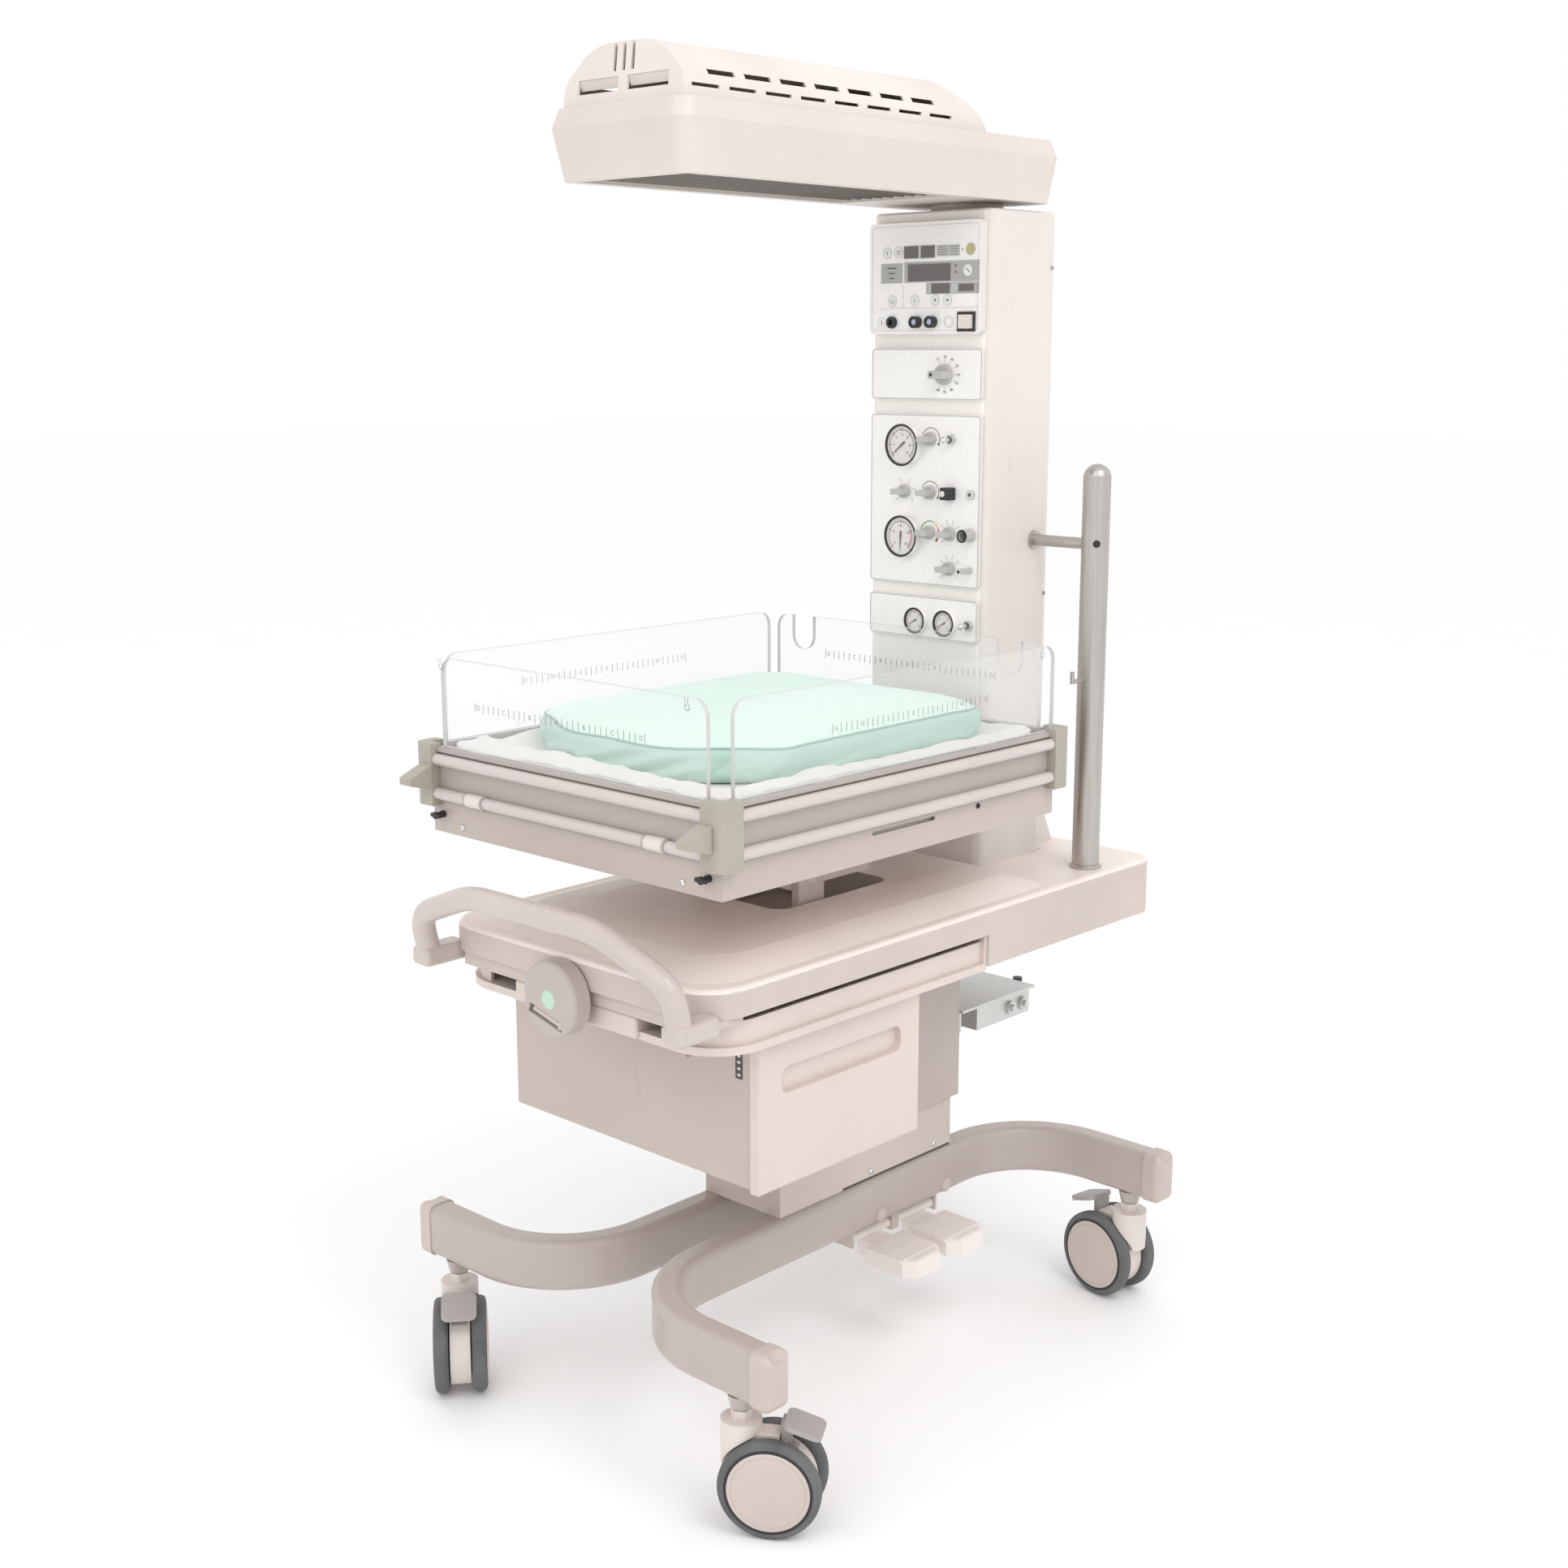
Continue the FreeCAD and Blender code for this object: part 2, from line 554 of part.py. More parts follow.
brake_master = cut("brake_master", brake_solid,
                   cylinder("brake_bore", "y", d.brake_pin_radius + d.fit_gap, -d.web_width, d.web_width,
                            pin_x, pin_z))

CASTERS = {
    "fl": (-d.stem_x, d.front_stem_y, -39), "fr": (d.stem_x, d.front_stem_y, 33),
    "rl": (-d.stem_x, d.rear_stem_y, 8), "rr": (d.stem_x, d.rear_stem_y, 171),
}
for corner, (x, y, heading) in CASTERS.items():
    turn = FreeCAD.Rotation(V(0, 0, 1), heading)
    for kind, master in (("caster_fork", fork_master), ("caster_wheels", wheels_master),
                         ("brake_pedal", brake_master)):
        node(f"{kind}_{corner}", place(group(f"{kind}_{corner}", master), x, y, 0, turn))


# Lifting column: a fixed lower housing with the actuator, and a sleeve that telescopes over it

def shell(name, x0, x1, y0, y1, z0, z1, wall, open_low, open_high):
    """A rectangular tube, closed by a plate at any end that isn't open."""
    outer = box(name + "_outer", x0, x1, y0, y1, z0, z1)
    low = z0 - 1 if open_low else z0 + wall
    high = z1 + 1 if open_high else z1 - wall
    inner = box(name + "_inner", x0 + wall, x1 - wall, y0 + wall, y1 - wall, low, high)
    return cut(name, outer, inner)


lug_inner = d.pedal_front - d.fit_gap
pedal_end = d.pedal_front + d.pedal_pitch + d.pedal_width
lower_shell = shell("lower_shell", -d.column_half, d.column_half, d.column_front, d.column_rear, leg_top,
                    d.column_top, d.column_wall, False, True)
lower_tube = cut(
    "lower_tube",
    cylinder("tube_outer", "z", d.actuator_radius, leg_top + d.column_wall, d.actuator_top, 0, d.actuator_y),
    cylinder("tube_inner", "z", d.spindle_radius + d.fit_gap, leg_top + d.column_wall + 6,
             d.actuator_top + 1, 0,
             d.actuator_y),
)
lug_gap = d.pedal_pitch - d.pedal_width - d.fit_gap * 2
lug_places = [
    ("a", lug_inner - d.pedal_lug, d.pedal_lug),
    ("b", d.pedal_front + d.pedal_width + d.fit_gap, lug_gap),
    ("c", pedal_end + d.fit_gap, d.pedal_lug),
]
lug_half = d.leg_mid_x - d.leg_width / 2 - 1
lug_bar_y = (lug_inner - d.pedal_lug, pedal_end + d.fit_gap + d.pedal_lug)
pedal_bracket = [
    box("pedal_hanger", 0, lug_half, *lug_bar_y, d.leg_bottom - 2, leg_top),
    cylinder("pedal_rod", "y", d.pedal_rod_radius, *lug_bar_y, d.pedal_rod_x, d.pedal_rod_z),
]
for mark, start, width in lug_places:
    pedal_bracket.append(box(f"pedal_lug_{mark}", 0, d.pedal_rod_x + d.pedal_barrel, start, start + width,
                             d.pedal_rod_z - d.pedal_barrel, d.leg_bottom - 1))
node("lower_column", group("lower_column", fuse("lower_body", lower_shell, *pedal_bracket), lower_tube))


def foot_pedal(name, start):
    """A deep tread with cut corners and cross ribs, on an arm with a barrel round the pedal rod."""
    end = start + d.pedal_width
    pad_inner = d.pedal_tip_x - d.pedal_pad
    low = d.pedal_top - d.pedal_thick
    shoulder = d.pedal_tip_x - d.pedal_corner
    pad = plan(name + "_pad", [
        (pad_inner, start), (shoulder, start), (d.pedal_tip_x, start + d.pedal_corner),
        (d.pedal_tip_x, end - d.pedal_corner), (shoulder, end), (pad_inner, end),
    ], low, d.pedal_top)

    def upper(x0, x1, y0, y1, z0, z1):
        return near(z0, d.pedal_top) and x0 > shoulder.value - 0.01

    pieces = [rounded(name + "_soft", pad, d.pedal_round, upper)]
    pieces.append(box(name + "_arm", d.pedal_rod_x, pad_inner + 2, start + d.pedal_arm, end - d.pedal_arm,
                      low, d.pedal_top - 2))
    pieces.append(cylinder(name + "_barrel", "y", d.pedal_barrel - 2, start, end, d.pedal_rod_x,
                           d.pedal_rod_z))
    for i in range(5):
        x = shoulder - d.rib_width * (1.5 + 2 * i)
        pieces.append(box(f"{name}_rib{i}", x, x + d.rib_width, start + 5, end - 5, d.pedal_top - 1,
                          d.pedal_top + d.rib_height))
    bore = cylinder(name + "_bore", "y", d.pedal_rod_radius + d.fit_gap, start - 1, end + 1, d.pedal_rod_x,
                    d.pedal_rod_z)
    return cut(name, fuse(name + "_solid", *pieces), bore)


node("foot_pedal_raise", foot_pedal("foot_pedal_raise", d.pedal_front))
node("foot_pedal_lower", foot_pedal("foot_pedal_lower", d.pedal_front + d.pedal_pitch))

sleeve_out = d.sleeve_gap + d.sleeve_wall
sleeve_half = d.column_half + sleeve_out
sleeve_shell = shell("sleeve_shell", -sleeve_half, sleeve_half, d.column_front - sleeve_out,
                     d.column_rear + sleeve_out, d.sleeve_bottom, d.shelf_bottom + d.shelf_thick,
                     d.sleeve_wall,
                     True, False)
spindle = cylinder("spindle", "z", d.spindle_radius, d.spindle_bottom, d.shelf_bottom + d.shelf_thick - 1, 0,
                   d.actuator_y)
node("upper_column", fuse("upper_column", sleeve_shell, spindle))


# Deck: a moulded cover with a crowned middle, a well for the tilt bearing and a deeper rear skirt

skirt_low = d.deck_top - d.deck_skirt
deck_shell = plan("deck_shell", oblong(-d.deck_half, d.deck_half, d.deck_front, d.deck_rear, d.deck_corner,
                                       d.deck_rear_corner), skirt_low, d.deck_top)
skirt = plan("deck_rear_skirt", oblong(-d.deck_half, d.deck_half, d.deck_step, d.deck_rear, None,
                                       d.deck_rear_corner), d.deck_low, skirt_low + 1)
rim = d.deck_round * 1.5
brow = (rim + d.crown_inset) / 2
brow_front = (d.deck_front + rim + d.crown_front) / 2
crown = loft("deck_crown", [
    (d.deck_top - 2, oblong(rim - d.deck_half, d.deck_half - rim, d.deck_front + rim, d.crown_rear + brow,
                            d.deck_corner, d.deck_rear_corner)),
    (d.crown_top - d.crown_drop, oblong(brow - d.deck_half, d.deck_half - brow, brow_front,
                                        d.crown_rear + brow / 2,
                                        d.deck_corner, d.deck_rear_corner)),
    (d.crown_top, oblong(d.crown_inset - d.deck_half, d.deck_half - d.crown_inset, d.crown_front,
                         d.crown_rear,
                         d.deck_corner, d.deck_rear_corner)),
], True)


def deck_edge(x0, x1, y0, y1, z0, z1):
    return near(z0, d.deck_top) and near(z1, d.deck_top)


deck_block = fuse("deck_block", rounded("deck_soft", deck_shell, d.deck_round, deck_edge), skirt, crown)
apron_front = d.deck_front + d.apron_inset
apron = cut(
    "deck_apron",
    box("apron_bar", -d.apron_half, d.apron_half, apron_front, apron_front + d.deck_wall, d.apron_low,
        d.deck_top - 2),
    box("apron_notch", -d.drive_boss - 2, d.drive_boss + 2, apron_front - 1, apron_front + d.deck_wall + 1,
        d.apron_low - 1, d.wheel_face_z + d.drive_boss + 2),
)
inside = d.deck_half - d.deck_wall
deck_hollow = plan("deck_hollow", oblong(-inside, inside, d.deck_front + d.deck_wall,
                                         d.deck_rear - d.deck_wall,
                                         d.deck_corner - d.deck_wall, d.deck_rear_corner - d.deck_wall),
                   d.deck_low - 1, d.deck_top - d.deck_wall)
well = plan("deck_well", oblong(-d.well_half, d.well_half, d.well_front, d.well_rear, d.well_round,
                                d.well_round),
            d.deck_low, d.crown_top + 1)
well_out = d.well_half + d.deck_wall
basin_outer = plan("basin_outer", oblong(-well_out, well_out, d.well_front - d.deck_wall,
                                         d.well_rear + d.deck_wall,
                                         d.well_round + d.deck_wall, d.well_round + d.deck_wall),
                   d.well_floor - d.deck_wall, d.deck_top - d.deck_wall)
basin_inner = plan("basin_inner", oblong(-d.well_half, d.well_half, d.well_front, d.well_rear, d.well_round,
                                         d.well_round), d.well_floor, d.deck_top)
tilt_height = d.well_floor + d.tilt_rise
ear_inner = d.pedestal_half + d.ear_gap
ear_round = d.pin_radius + 9


def bearing_ear(name, start):
    end = start + d.ear_thick
    upright_block = box(name + "_block", start, end, d.tilt_y - d.ear_half, d.tilt_y + d.ear_half,
                        d.well_floor - 1, tilt_height)
    eye = cylinder(name + "_eye", "x", ear_round, start, end, d.tilt_y, tilt_height)
    return fuse(name, upright_block, eye)


bearing_bore = cylinder("bearing_bore", "x", d.pin_radius + d.fit_gap, -d.deck_half, d.deck_half, d.tilt_y,
                        tilt_height)
tower_gap = box("tower_gap", d.tower_wall - d.tower_half, d.tower_half - d.tower_wall,
                d.tower_front + d.tower_wall,
                d.tower_rear - d.tower_wall, d.deck_low, d.deck_top + 1)
deck_open = cut("deck_open", deck_block, deck_hollow, well, tower_gap)
deck_ears = fuse("deck_ears", bearing_ear("ear_right", ear_inner), bearing_ear("ear_left",
                                                                               -ear_inner - d.ear_thick))
deck_basin = cut("deck_basin", basin_outer, basin_inner)
sleeve_boss = box("sleeve_boss", -sleeve_half, sleeve_half, d.deck_step + d.deck_wall,
                  d.column_rear + sleeve_out,
                  d.shelf_bottom + d.shelf_thick, d.deck_top - d.deck_wall + 1)
deck_whole = fuse("deck_whole", deck_open, apron, deck_basin, deck_ears, sleeve_boss)
node("deck", cut("deck", deck_whole, bearing_bore))

# Under shelf: a tray below the deck that leaves a storage slot, open at the front beside the gearbox

shelf_high = d.shelf_bottom + d.shelf_thick
shelf_half = d.deck_half - d.shelf_inset
shelf_outline = oblong(-shelf_half, shelf_half, d.shelf_front, d.deck_step, d.shelf_corner, None)
shelf_plate = plan("shelf_plate", shelf_outline, d.shelf_bottom, shelf_high)
rim_half = shelf_half - d.shelf_ledge
rim_front = d.shelf_front + d.shelf_ledge
rim_corner = d.shelf_corner - d.shelf_ledge
shelf_inner = rim_half - d.shelf_wall
mouth_half = shelf_half - d.shelf_corner
shelf_rim = cut(
    "shelf_rim",
    plan("rim_outer", oblong(-rim_half, rim_half, rim_front, d.deck_step, rim_corner, None), shelf_high - 1,
         d.shelf_wall_top),
    plan("rim_inner", oblong(-shelf_inner, shelf_inner, rim_front + d.shelf_wall, d.deck_step - d.shelf_wall,
                             rim_corner - d.shelf_wall, None), shelf_high - 2, d.shelf_wall_top + 1),
    box("shelf_mouth", -mouth_half, mouth_half, rim_front - 1, rim_front + d.shelf_wall + 1, shelf_high,
        d.shelf_wall_top + 1),
)
shelf_end = box("shelf_end", -shelf_half, shelf_half, d.deck_step - d.shelf_wall, d.deck_step, shelf_high - 1,
                skirt_low)
shelf_gap = box("shelf_gap", -sleeve_half, sleeve_half, d.column_front - sleeve_out, d.deck_step + 1,
                d.shelf_bottom - 1, shelf_high)
lip_low = d.drawer_top - d.lip_thick
foot_top = lip_low - d.slide_gap
foot_low = foot_top - d.rail_web_thick
rail_end = d.drawer_right - d.drawer_wall - 2
front_lip_end = d.drawer_front + d.lip_width
back_lip_end = d.drawer_back - d.lip_width


def drawer_rail(name, wall_side, web_side):
    """A hanging channel whose foot reaches under the drawer's lip."""
    web_end = web_side + d.rail_web_thick * (1 if web_side.value > wall_side.value else -1)
    low, high = (web_side, web_end) if web_side.value < web_end.value else (web_end, web_side)
    foot = (wall_side, high) if wall_side.value < web_side.value else (low, wall_side)
    return fuse(
        name, box(name + "_web", d.drawer_left, rail_end, low, high, foot_low, d.shelf_bottom + 1),
        box(name + "_foot", d.drawer_left, rail_end, *foot, foot_low, foot_top),
    )


runners = [
    drawer_rail("runner_front", d.drawer_front + d.drawer_wall + 1, front_lip_end + 1),
    drawer_rail("runner_back", d.drawer_back - d.drawer_wall - 1, back_lip_end - 1),
]
shelf_solid = fuse("shelf_solid", shelf_plate, shelf_rim, shelf_end)
node("under_shelf", fuse("under_shelf", cut("shelf_tray", shelf_solid, shelf_gap),
                         *runners))

# Drawer: an L-shaped sheet box that passes in front of and beside the column, with a moulded front


def drawer_outline(inset):
    return [
        (d.drawer_left + inset, d.drawer_front + inset), (d.drawer_right - inset, d.drawer_front + inset),
        (d.drawer_right - inset, d.drawer_wing - inset), (d.drawer_wing_x + inset, d.drawer_wing - inset),
        (d.drawer_wing_x + inset, d.drawer_back - inset), (d.drawer_left + inset, d.drawer_back - inset),
    ]


drawer_pan = cut(
    "drawer_pan", plan("drawer_outer", drawer_outline(0), d.drawer_bottom, d.drawer_top),
    plan("drawer_inner", drawer_outline(d.drawer_wall), d.drawer_bottom + d.drawer_wall, d.drawer_top + 1),
    box("drawer_end_cut", d.drawer_left - 1, d.drawer_left + d.drawer_wall + 1,
        d.drawer_front + d.drawer_wall,
        d.drawer_back - d.drawer_wall, d.drawer_top - d.end_drop, d.drawer_top + 1),
)
node("drawer_box", fuse(
    "drawer_box", drawer_pan,
    box("lip_front", d.drawer_left, d.drawer_right, d.drawer_front, front_lip_end, lip_low, d.drawer_top),
    box("lip_back", d.drawer_left, d.drawer_wing_x, back_lip_end, d.drawer_back, lip_low, d.drawer_top),
))

face_low = d.drawer_bottom - d.face_overhang
face_near = d.drawer_front - d.face_overhang
face_far = d.drawer_wing + d.face_overhang
face_out = d.drawer_right + d.face_thick
face_block = box("face_block", d.drawer_right, face_out, face_near, face_far, face_low, d.face_top)


def face_edge(x0, x1, y0, y1, z0, z1):
    return near(x0, face_out)


recess_mid = (face_near + face_far) / 2
recess = box("face_recess", face_out - d.recess_depth, face_out + 1, recess_mid - d.recess_length / 2,
             recess_mid + d.recess_length / 2, d.recess_top - d.recess_height, d.recess_top)


def recess_end(x0, x1, y0, y1, z0, z1):
    return x1 - x0 > 0.01


node("drawer_front", cut("drawer_front", rounded("face_soft", face_block, 4, face_edge),
                         rounded("recess_soft", recess, d.recess_round, recess_end)))

# Push handle: a bowed tube whose knuckles are bolted to the deck's front corners

handle_x = d.deck_half - d.knuckle_width / 2
crown_rise = d.handle_rise + d.handle_crown
handle = doc.addObject("PartDesign::Body", "handle_bow")
bow_path = sketch_on(handle, "handle_path", "XZ_Plane", 0)
draw(bow_path, [
    (-handle_x, 0), (-handle_x, d.handle_rise, d.handle_bend),
    (-handle_x / 2, crown_rise - 6, d.handle_bend * 4), (handle_x / 2, crown_rise - 6, d.handle_bend * 4),
    (handle_x, d.handle_rise, d.handle_bend), (handle_x, 0),
], closed=False)
bow_ring = sketch_on(handle, "handle_ring", "XY_Plane", 0)
ring = bow_ring.addGeometry(Part.Circle(V(-handle_x.value, 0, 0), V(0, 0, 1), d.handle_radius.value), False)
pin_point(bow_ring, ring, 3, -handle_x, 0)
ring_radius = bow_ring.addConstraint(Sketcher.Constraint("Radius", ring, d.handle_radius.value))
bow_ring.setExpression(f"Constraints[{ring_radius}]", d.handle_radius.text)
bow = handle.newObject("PartDesign::AdditivePipe", "handle_pipe")
bow.Profile = bow_ring
bow.Spine = (bow_path, [f"Edge{i}" for i in range(1, 10)])
place(handle, 0, d.handle_foot_y, d.handle_foot_z, FreeCAD.Rotation(V(1, 0, 0), d.handle_lean.value))


def knuckle(name, x):
    """A block under the handle's foot, with a tongue below the deck's rim."""
    half = d.knuckle_width / 2
    front = d.handle_foot_y - d.handle_radius - 1
    back = d.shelf_front - 1
    stub = box(name + "_stub", x - half, x + half, front, back, d.handle_foot_z - d.handle_radius - 1,
               skirt_low + d.knuckle_rise)
    tongue = box(name + "_tongue", x - half + d.knuckle_round, x + half - d.knuckle_round, back - 2,
                 d.deck_front + d.deck_corner, d.shelf_wall_top + 1, skirt_low)

    def stub_edge(x0, x1, y0, y1, z0, z1):
        return y1 - y0 > 0.01 or near(y0, front)

    return fuse(name, rounded(name + "_soft", stub, d.knuckle_round, stub_edge), tongue)


node("push_handle", fuse(
    "push_handle", handle,
    cut("knuckle_right", knuckle("knuckle_right_bar", handle_x), deck_shell),
    cut("knuckle_left", knuckle("knuckle_left_bar", -handle_x), deck_shell),
))

# Tilt drive: a gearbox on the shelf, a hand wheel on its shaft and a crank grip that folds into the wheel

wheel_back = d.gearbox_front - d.wheel_face_gap
wheel_front = wheel_back - d.wheel_face_depth
gear_block = box("gear_block", -d.gearbox_half, d.gearbox_half, d.gearbox_front,
                 d.gearbox_front + d.gearbox_depth, d.shelf_bottom, d.gearbox_top)
gear_seat = box("gear_seat", -d.deck_half, d.deck_half, d.shelf_front - d.fit_gap, d.deck_step,
                d.shelf_bottom - 1,
                shelf_high)


def gear_edge(x0, x1, y0, y1, z0, z1):
    return near(y0, d.gearbox_front)


shaft_end = d.gearbox_front + d.drive_reach
gear_boss = cylinder("gear_boss", "y", d.drive_boss, wheel_back + 2, shaft_end + 4, 0, d.wheel_face_z)
gear_bore = cylinder("gear_bore", "y", d.drive_radius + d.fit_gap, wheel_back - 1, shaft_end + 1, 0,
                     d.wheel_face_z)
gear_case = fuse("gear_case", cut("gear_body", rounded("gear_soft", gear_block, 5, gear_edge), gear_seat),
                 gear_boss)
node("tilt_gearbox", cut("tilt_gearbox", gear_case, gear_bore))

wheel_disc = cylinder("wheel_disc", "y", d.wheel_face_radius, wheel_front, wheel_back, 0, d.wheel_face_z)


def disc_rim(x0, x1, y0, y1, z0, z1):
    return near(y0, wheel_front) and near(y1, wheel_front)


crank_z = d.wheel_face_z - d.crank_offset
crank_pin_x = d.crank_length / 2 - d.crank_slot / 2
crank_y = wheel_front + d.crank_slot / 2
slot_half = d.crank_slot / 2
crank_slot = box("crank_slot", -d.crank_length / 2, d.crank_length / 2, wheel_front - 1,
                 wheel_front + d.crank_slot,
                 crank_z - slot_half, crank_z + slot_half)
wheel_shaft = cylinder("wheel_shaft", "y", d.drive_radius, wheel_back - 1, shaft_end, 0, d.wheel_face_z)
crank_pivot = cylinder("crank_pivot", "z", d.crank_pin, crank_z - slot_half - 2, crank_z + slot_half + 2,
                       crank_pin_x, crank_y)
tilt_wheel = fuse(
    "tilt_wheel", cut("wheel_slotted", rounded("wheel_soft", wheel_disc, d.wheel_face_round, disc_rim),
                      crank_slot),
    wheel_shaft, crank_pivot,
)
eye_half = slot_half - d.eye_gap * 1.5
crank_bar = fuse(
    "crank_bar",
    cylinder("crank_rod", "x", d.crank_radius, slot_half - d.crank_length / 2, crank_pin_x, crank_y, crank_z),
    cylinder("crank_eye", "z", slot_half - d.eye_gap, crank_z - eye_half, crank_z + eye_half, crank_pin_x,
             crank_y),
)
crank_bore = cylinder("crank_bore", "z", d.crank_pin + d.fit_gap / 2, crank_z - d.crank_slot,
                      crank_z + d.crank_slot,
                      crank_pin_x, crank_y)
crank_grip = cut("crank_grip", crank_bar, crank_bore)

# The wheel stands a little turned, as it was left in the photograph.
turn = math.radians(d.crank_turn.value)
for name, piece in (("tilt_wheel", tilt_wheel), ("crank_grip", crank_grip)):
    node(name, place(piece, d.wheel_face_z * -math.sin(turn), 0, d.wheel_face_z * (1 - math.cos(turn)),
                     FreeCAD.Rotation(V(0, 1, 0), d.crank_turn.value)))

# Control tower: a hollow housing with a flared foot, fascia plates and their instruments

tower_body = plan("tower_body", oblong(-d.tower_half, d.tower_half, d.tower_front, d.tower_rear,
                                       d.tower_round,
                                       d.tower_round * 2), d.tower_foot_z, d.tower_top)
tower_foot = prism("tower_foot", "YZ_Plane", [
    (d.tower_rear - d.tower_wall, d.tower_foot_z), (d.foot_rear, d.tower_foot_z),
    (d.tower_rear - d.tower_wall, d.tower_foot_z + d.foot_height),
], d.tower_round * 2 - d.tower_half, d.tower_half * 2 - d.tower_round * 4)
tower_room = box("tower_room", d.tower_wall - d.tower_half, d.tower_half - d.tower_wall,
                 d.tower_front + d.tower_wall,
                 d.tower_rear - d.tower_wall - d.tower_round / 2, d.tower_foot_z - 1,
                 d.tower_top - d.tower_wall * 3)
pivot_bore = cylinder("pivot_bore", "z", d.pivot_radius + d.pivot_gap, d.tower_top - d.tower_wall * 4,
                      d.tower_top + 1, 0, d.pivot_y)


def tower_rim(x0, x1, y0, y1, z0, z1):
    return near(z0, d.tower_top) and near(z1, d.tower_top)


node("column_housing", cut("column_housing", fuse("tower_solid", rounded("tower_soft", tower_body, 5,
                                                                         tower_rim),
                                                  tower_foot), tower_room, pivot_bore))

plate_y = d.tower_front - d.fascia_thick
module_y = d.tower_front - d.module_thick
shaft_bore = d.shaft_radius + d.shaft_gap

# Knobs: name, across, up, body radius, depth, grip width
KNOBS = [
    ("knob_blender", d.blend_x, d.row_blend, d.big_knob_radius, d.big_knob_depth, d.big_grip_width),
    ("knob_suction", d.col_b, d.row_suction, d.knob_radius, d.knob_depth, d.grip_width),
    ("knob_breath_rate", d.col_a, d.row_breath, d.knob_radius, d.knob_depth, d.grip_width),
    ("knob_breath_pressure", d.col_b, d.row_breath, d.knob_radius, d.knob_depth, d.grip_width),
    ("knob_airway", d.col_b, d.row_airway, d.knob_radius, d.knob_depth, d.grip_width),
    ("knob_flow_upper", d.col_c, d.row_airway, d.knob_radius, d.knob_depth, d.grip_width),
    ("knob_flow_lower", d.col_c, d.row_outlet, d.knob_radius, d.knob_depth, d.grip_width),
]
TOGGLES = [("suction_toggle", d.col_c, d.row_suction), ("supply_toggle", d.col_d, d.row_supply)]


def fascia(name, low, high, front):
    slab = box(name + "_slab", -d.fascia_half, d.fascia_half, front, d.tower_front, low, high)

    def corner(x0, x1, y0, y1, z0, z1):
        return y1 - y0 > 0.01

    return rounded(name, slab, d.fascia_round, corner)


plate_bores = [
    cylinder(name + "_hole", "y", shaft_bore, plate_y - 1, d.tower_front + 1, x, z)
    for name, x, z in [k[:3] for k in KNOBS] + TOGGLES + [("breath_selector", d.col_c, d.row_breath)]
]
plates = cut("fascia_plates", group(
    "fascia_blanks", fascia("fascia_blend", d.blend_low, d.blend_high, plate_y),
    fascia("fascia_gas", d.gas_low, d.gas_high, plate_y),
    fascia("fascia_supply", d.supply_low, d.supply_high, plate_y),
), *plate_bores)
well_x = d.rocker_half_x + d.rocker_gap
well_z = d.rocker_half_z + d.rocker_gap
module = cut(
    "fascia_module", fascia("module_blank", d.module_low, d.module_high, module_y),
    box("rocker_well", d.rocker_x - well_x, d.rocker_x + well_x, module_y - 1, module_y + d.rocker_well,
        d.row_module - well_z, d.row_module + well_z),
)
node("fascia_panels", group("fascia_panels", plates, module))


def gauge(name, x, z, radius, depth):
    front = plate_y - depth
    case = cylinder(name + "_case", "y", radius, front, plate_y, x, z)
    dial = cylinder(name + "_dial", "y", radius - d.gauge_rim, front - 1, front + d.dial_recess, x, z)
    return cut(name, case, dial)


node("gauge_cases", group(
    "gauge_cases",
    gauge("gauge_suction", d.gauge_x, d.suction_gauge_z, d.gauge_radius, d.gauge_depth),
    gauge("gauge_airway", d.gauge_x, d.airway_gauge_z, d.gauge_radius, d.gauge_depth),
    gauge("gauge_oxygen", d.small_gauge_a, d.row_supply, d.small_gauge_radius, d.small_gauge_depth),
    gauge("gauge_air", d.small_gauge_b, d.row_supply, d.small_gauge_radius, d.small_gauge_depth),
))


def turning_knob(name, x, z, radius, depth, grip):
    back = plate_y - d.knob_lift
    base_front = back - d.knob_base
    base = cylinder(name + "_base", "y", radius, base_front, back, x, z)

    def base_rim(x0, x1, y0, y1, z0, z1):
        return near(y0, base_front) and near(y1, base_front)

    wing = box(name + "_wing", x - radius, x + radius, back - depth, back - d.knob_base / 2, z - grip / 2,
               z + grip / 2)

    def wing_edge(x0, x1, y0, y1, z0, z1):
        return near(y0, back - depth) or (y1 - y0 > 0.01)

    shaft = cylinder(name + "_shaft", "y", d.shaft_radius, back - 1, d.tower_front - 1, x, z)
    return fuse(name, rounded(name + "_soft", base, 1.5, base_rim), rounded(name + "_grip", wing, 1.5,
                                                                            wing_edge),
                shaft)


for knob in KNOBS:
    node(knob[0], turning_knob(*knob))


def toggle(name, x, z):
    tip = plate_y - d.toggle_length
    return fuse(
        name, cone(name + "_lever", "y", d.toggle_ball * 0.8, d.toggle_radius, tip, d.tower_front - 2, x, z),
        sphere(name + "_ball", d.toggle_ball, x, tip, z),
    )


for item in TOGGLES:
    node(item[0], toggle(*item))

rocker_block = box("rocker_block", d.rocker_x - d.rocker_half_x, d.rocker_x + d.rocker_half_x,
                   module_y - d.rocker_depth, module_y + d.rocker_well / 2, d.row_module - d.rocker_half_z,
                   d.row_module + d.rocker_half_z)
rocker_pin = cylinder("rocker_pin", "z", 1.5, d.row_module - well_z + 0.3, d.row_module + well_z - 0.3,
                      d.rocker_x,
                      module_y)
node("power_rocker", fuse("power_rocker", rocker_block, rocker_pin))

select_back = plate_y - d.knob_lift
select_block = box("select_block", d.col_c - d.select_half, d.col_c + d.select_half,
                   select_back - d.select_depth,
                   select_back, d.row_breath - d.select_half, d.row_breath + d.select_half)


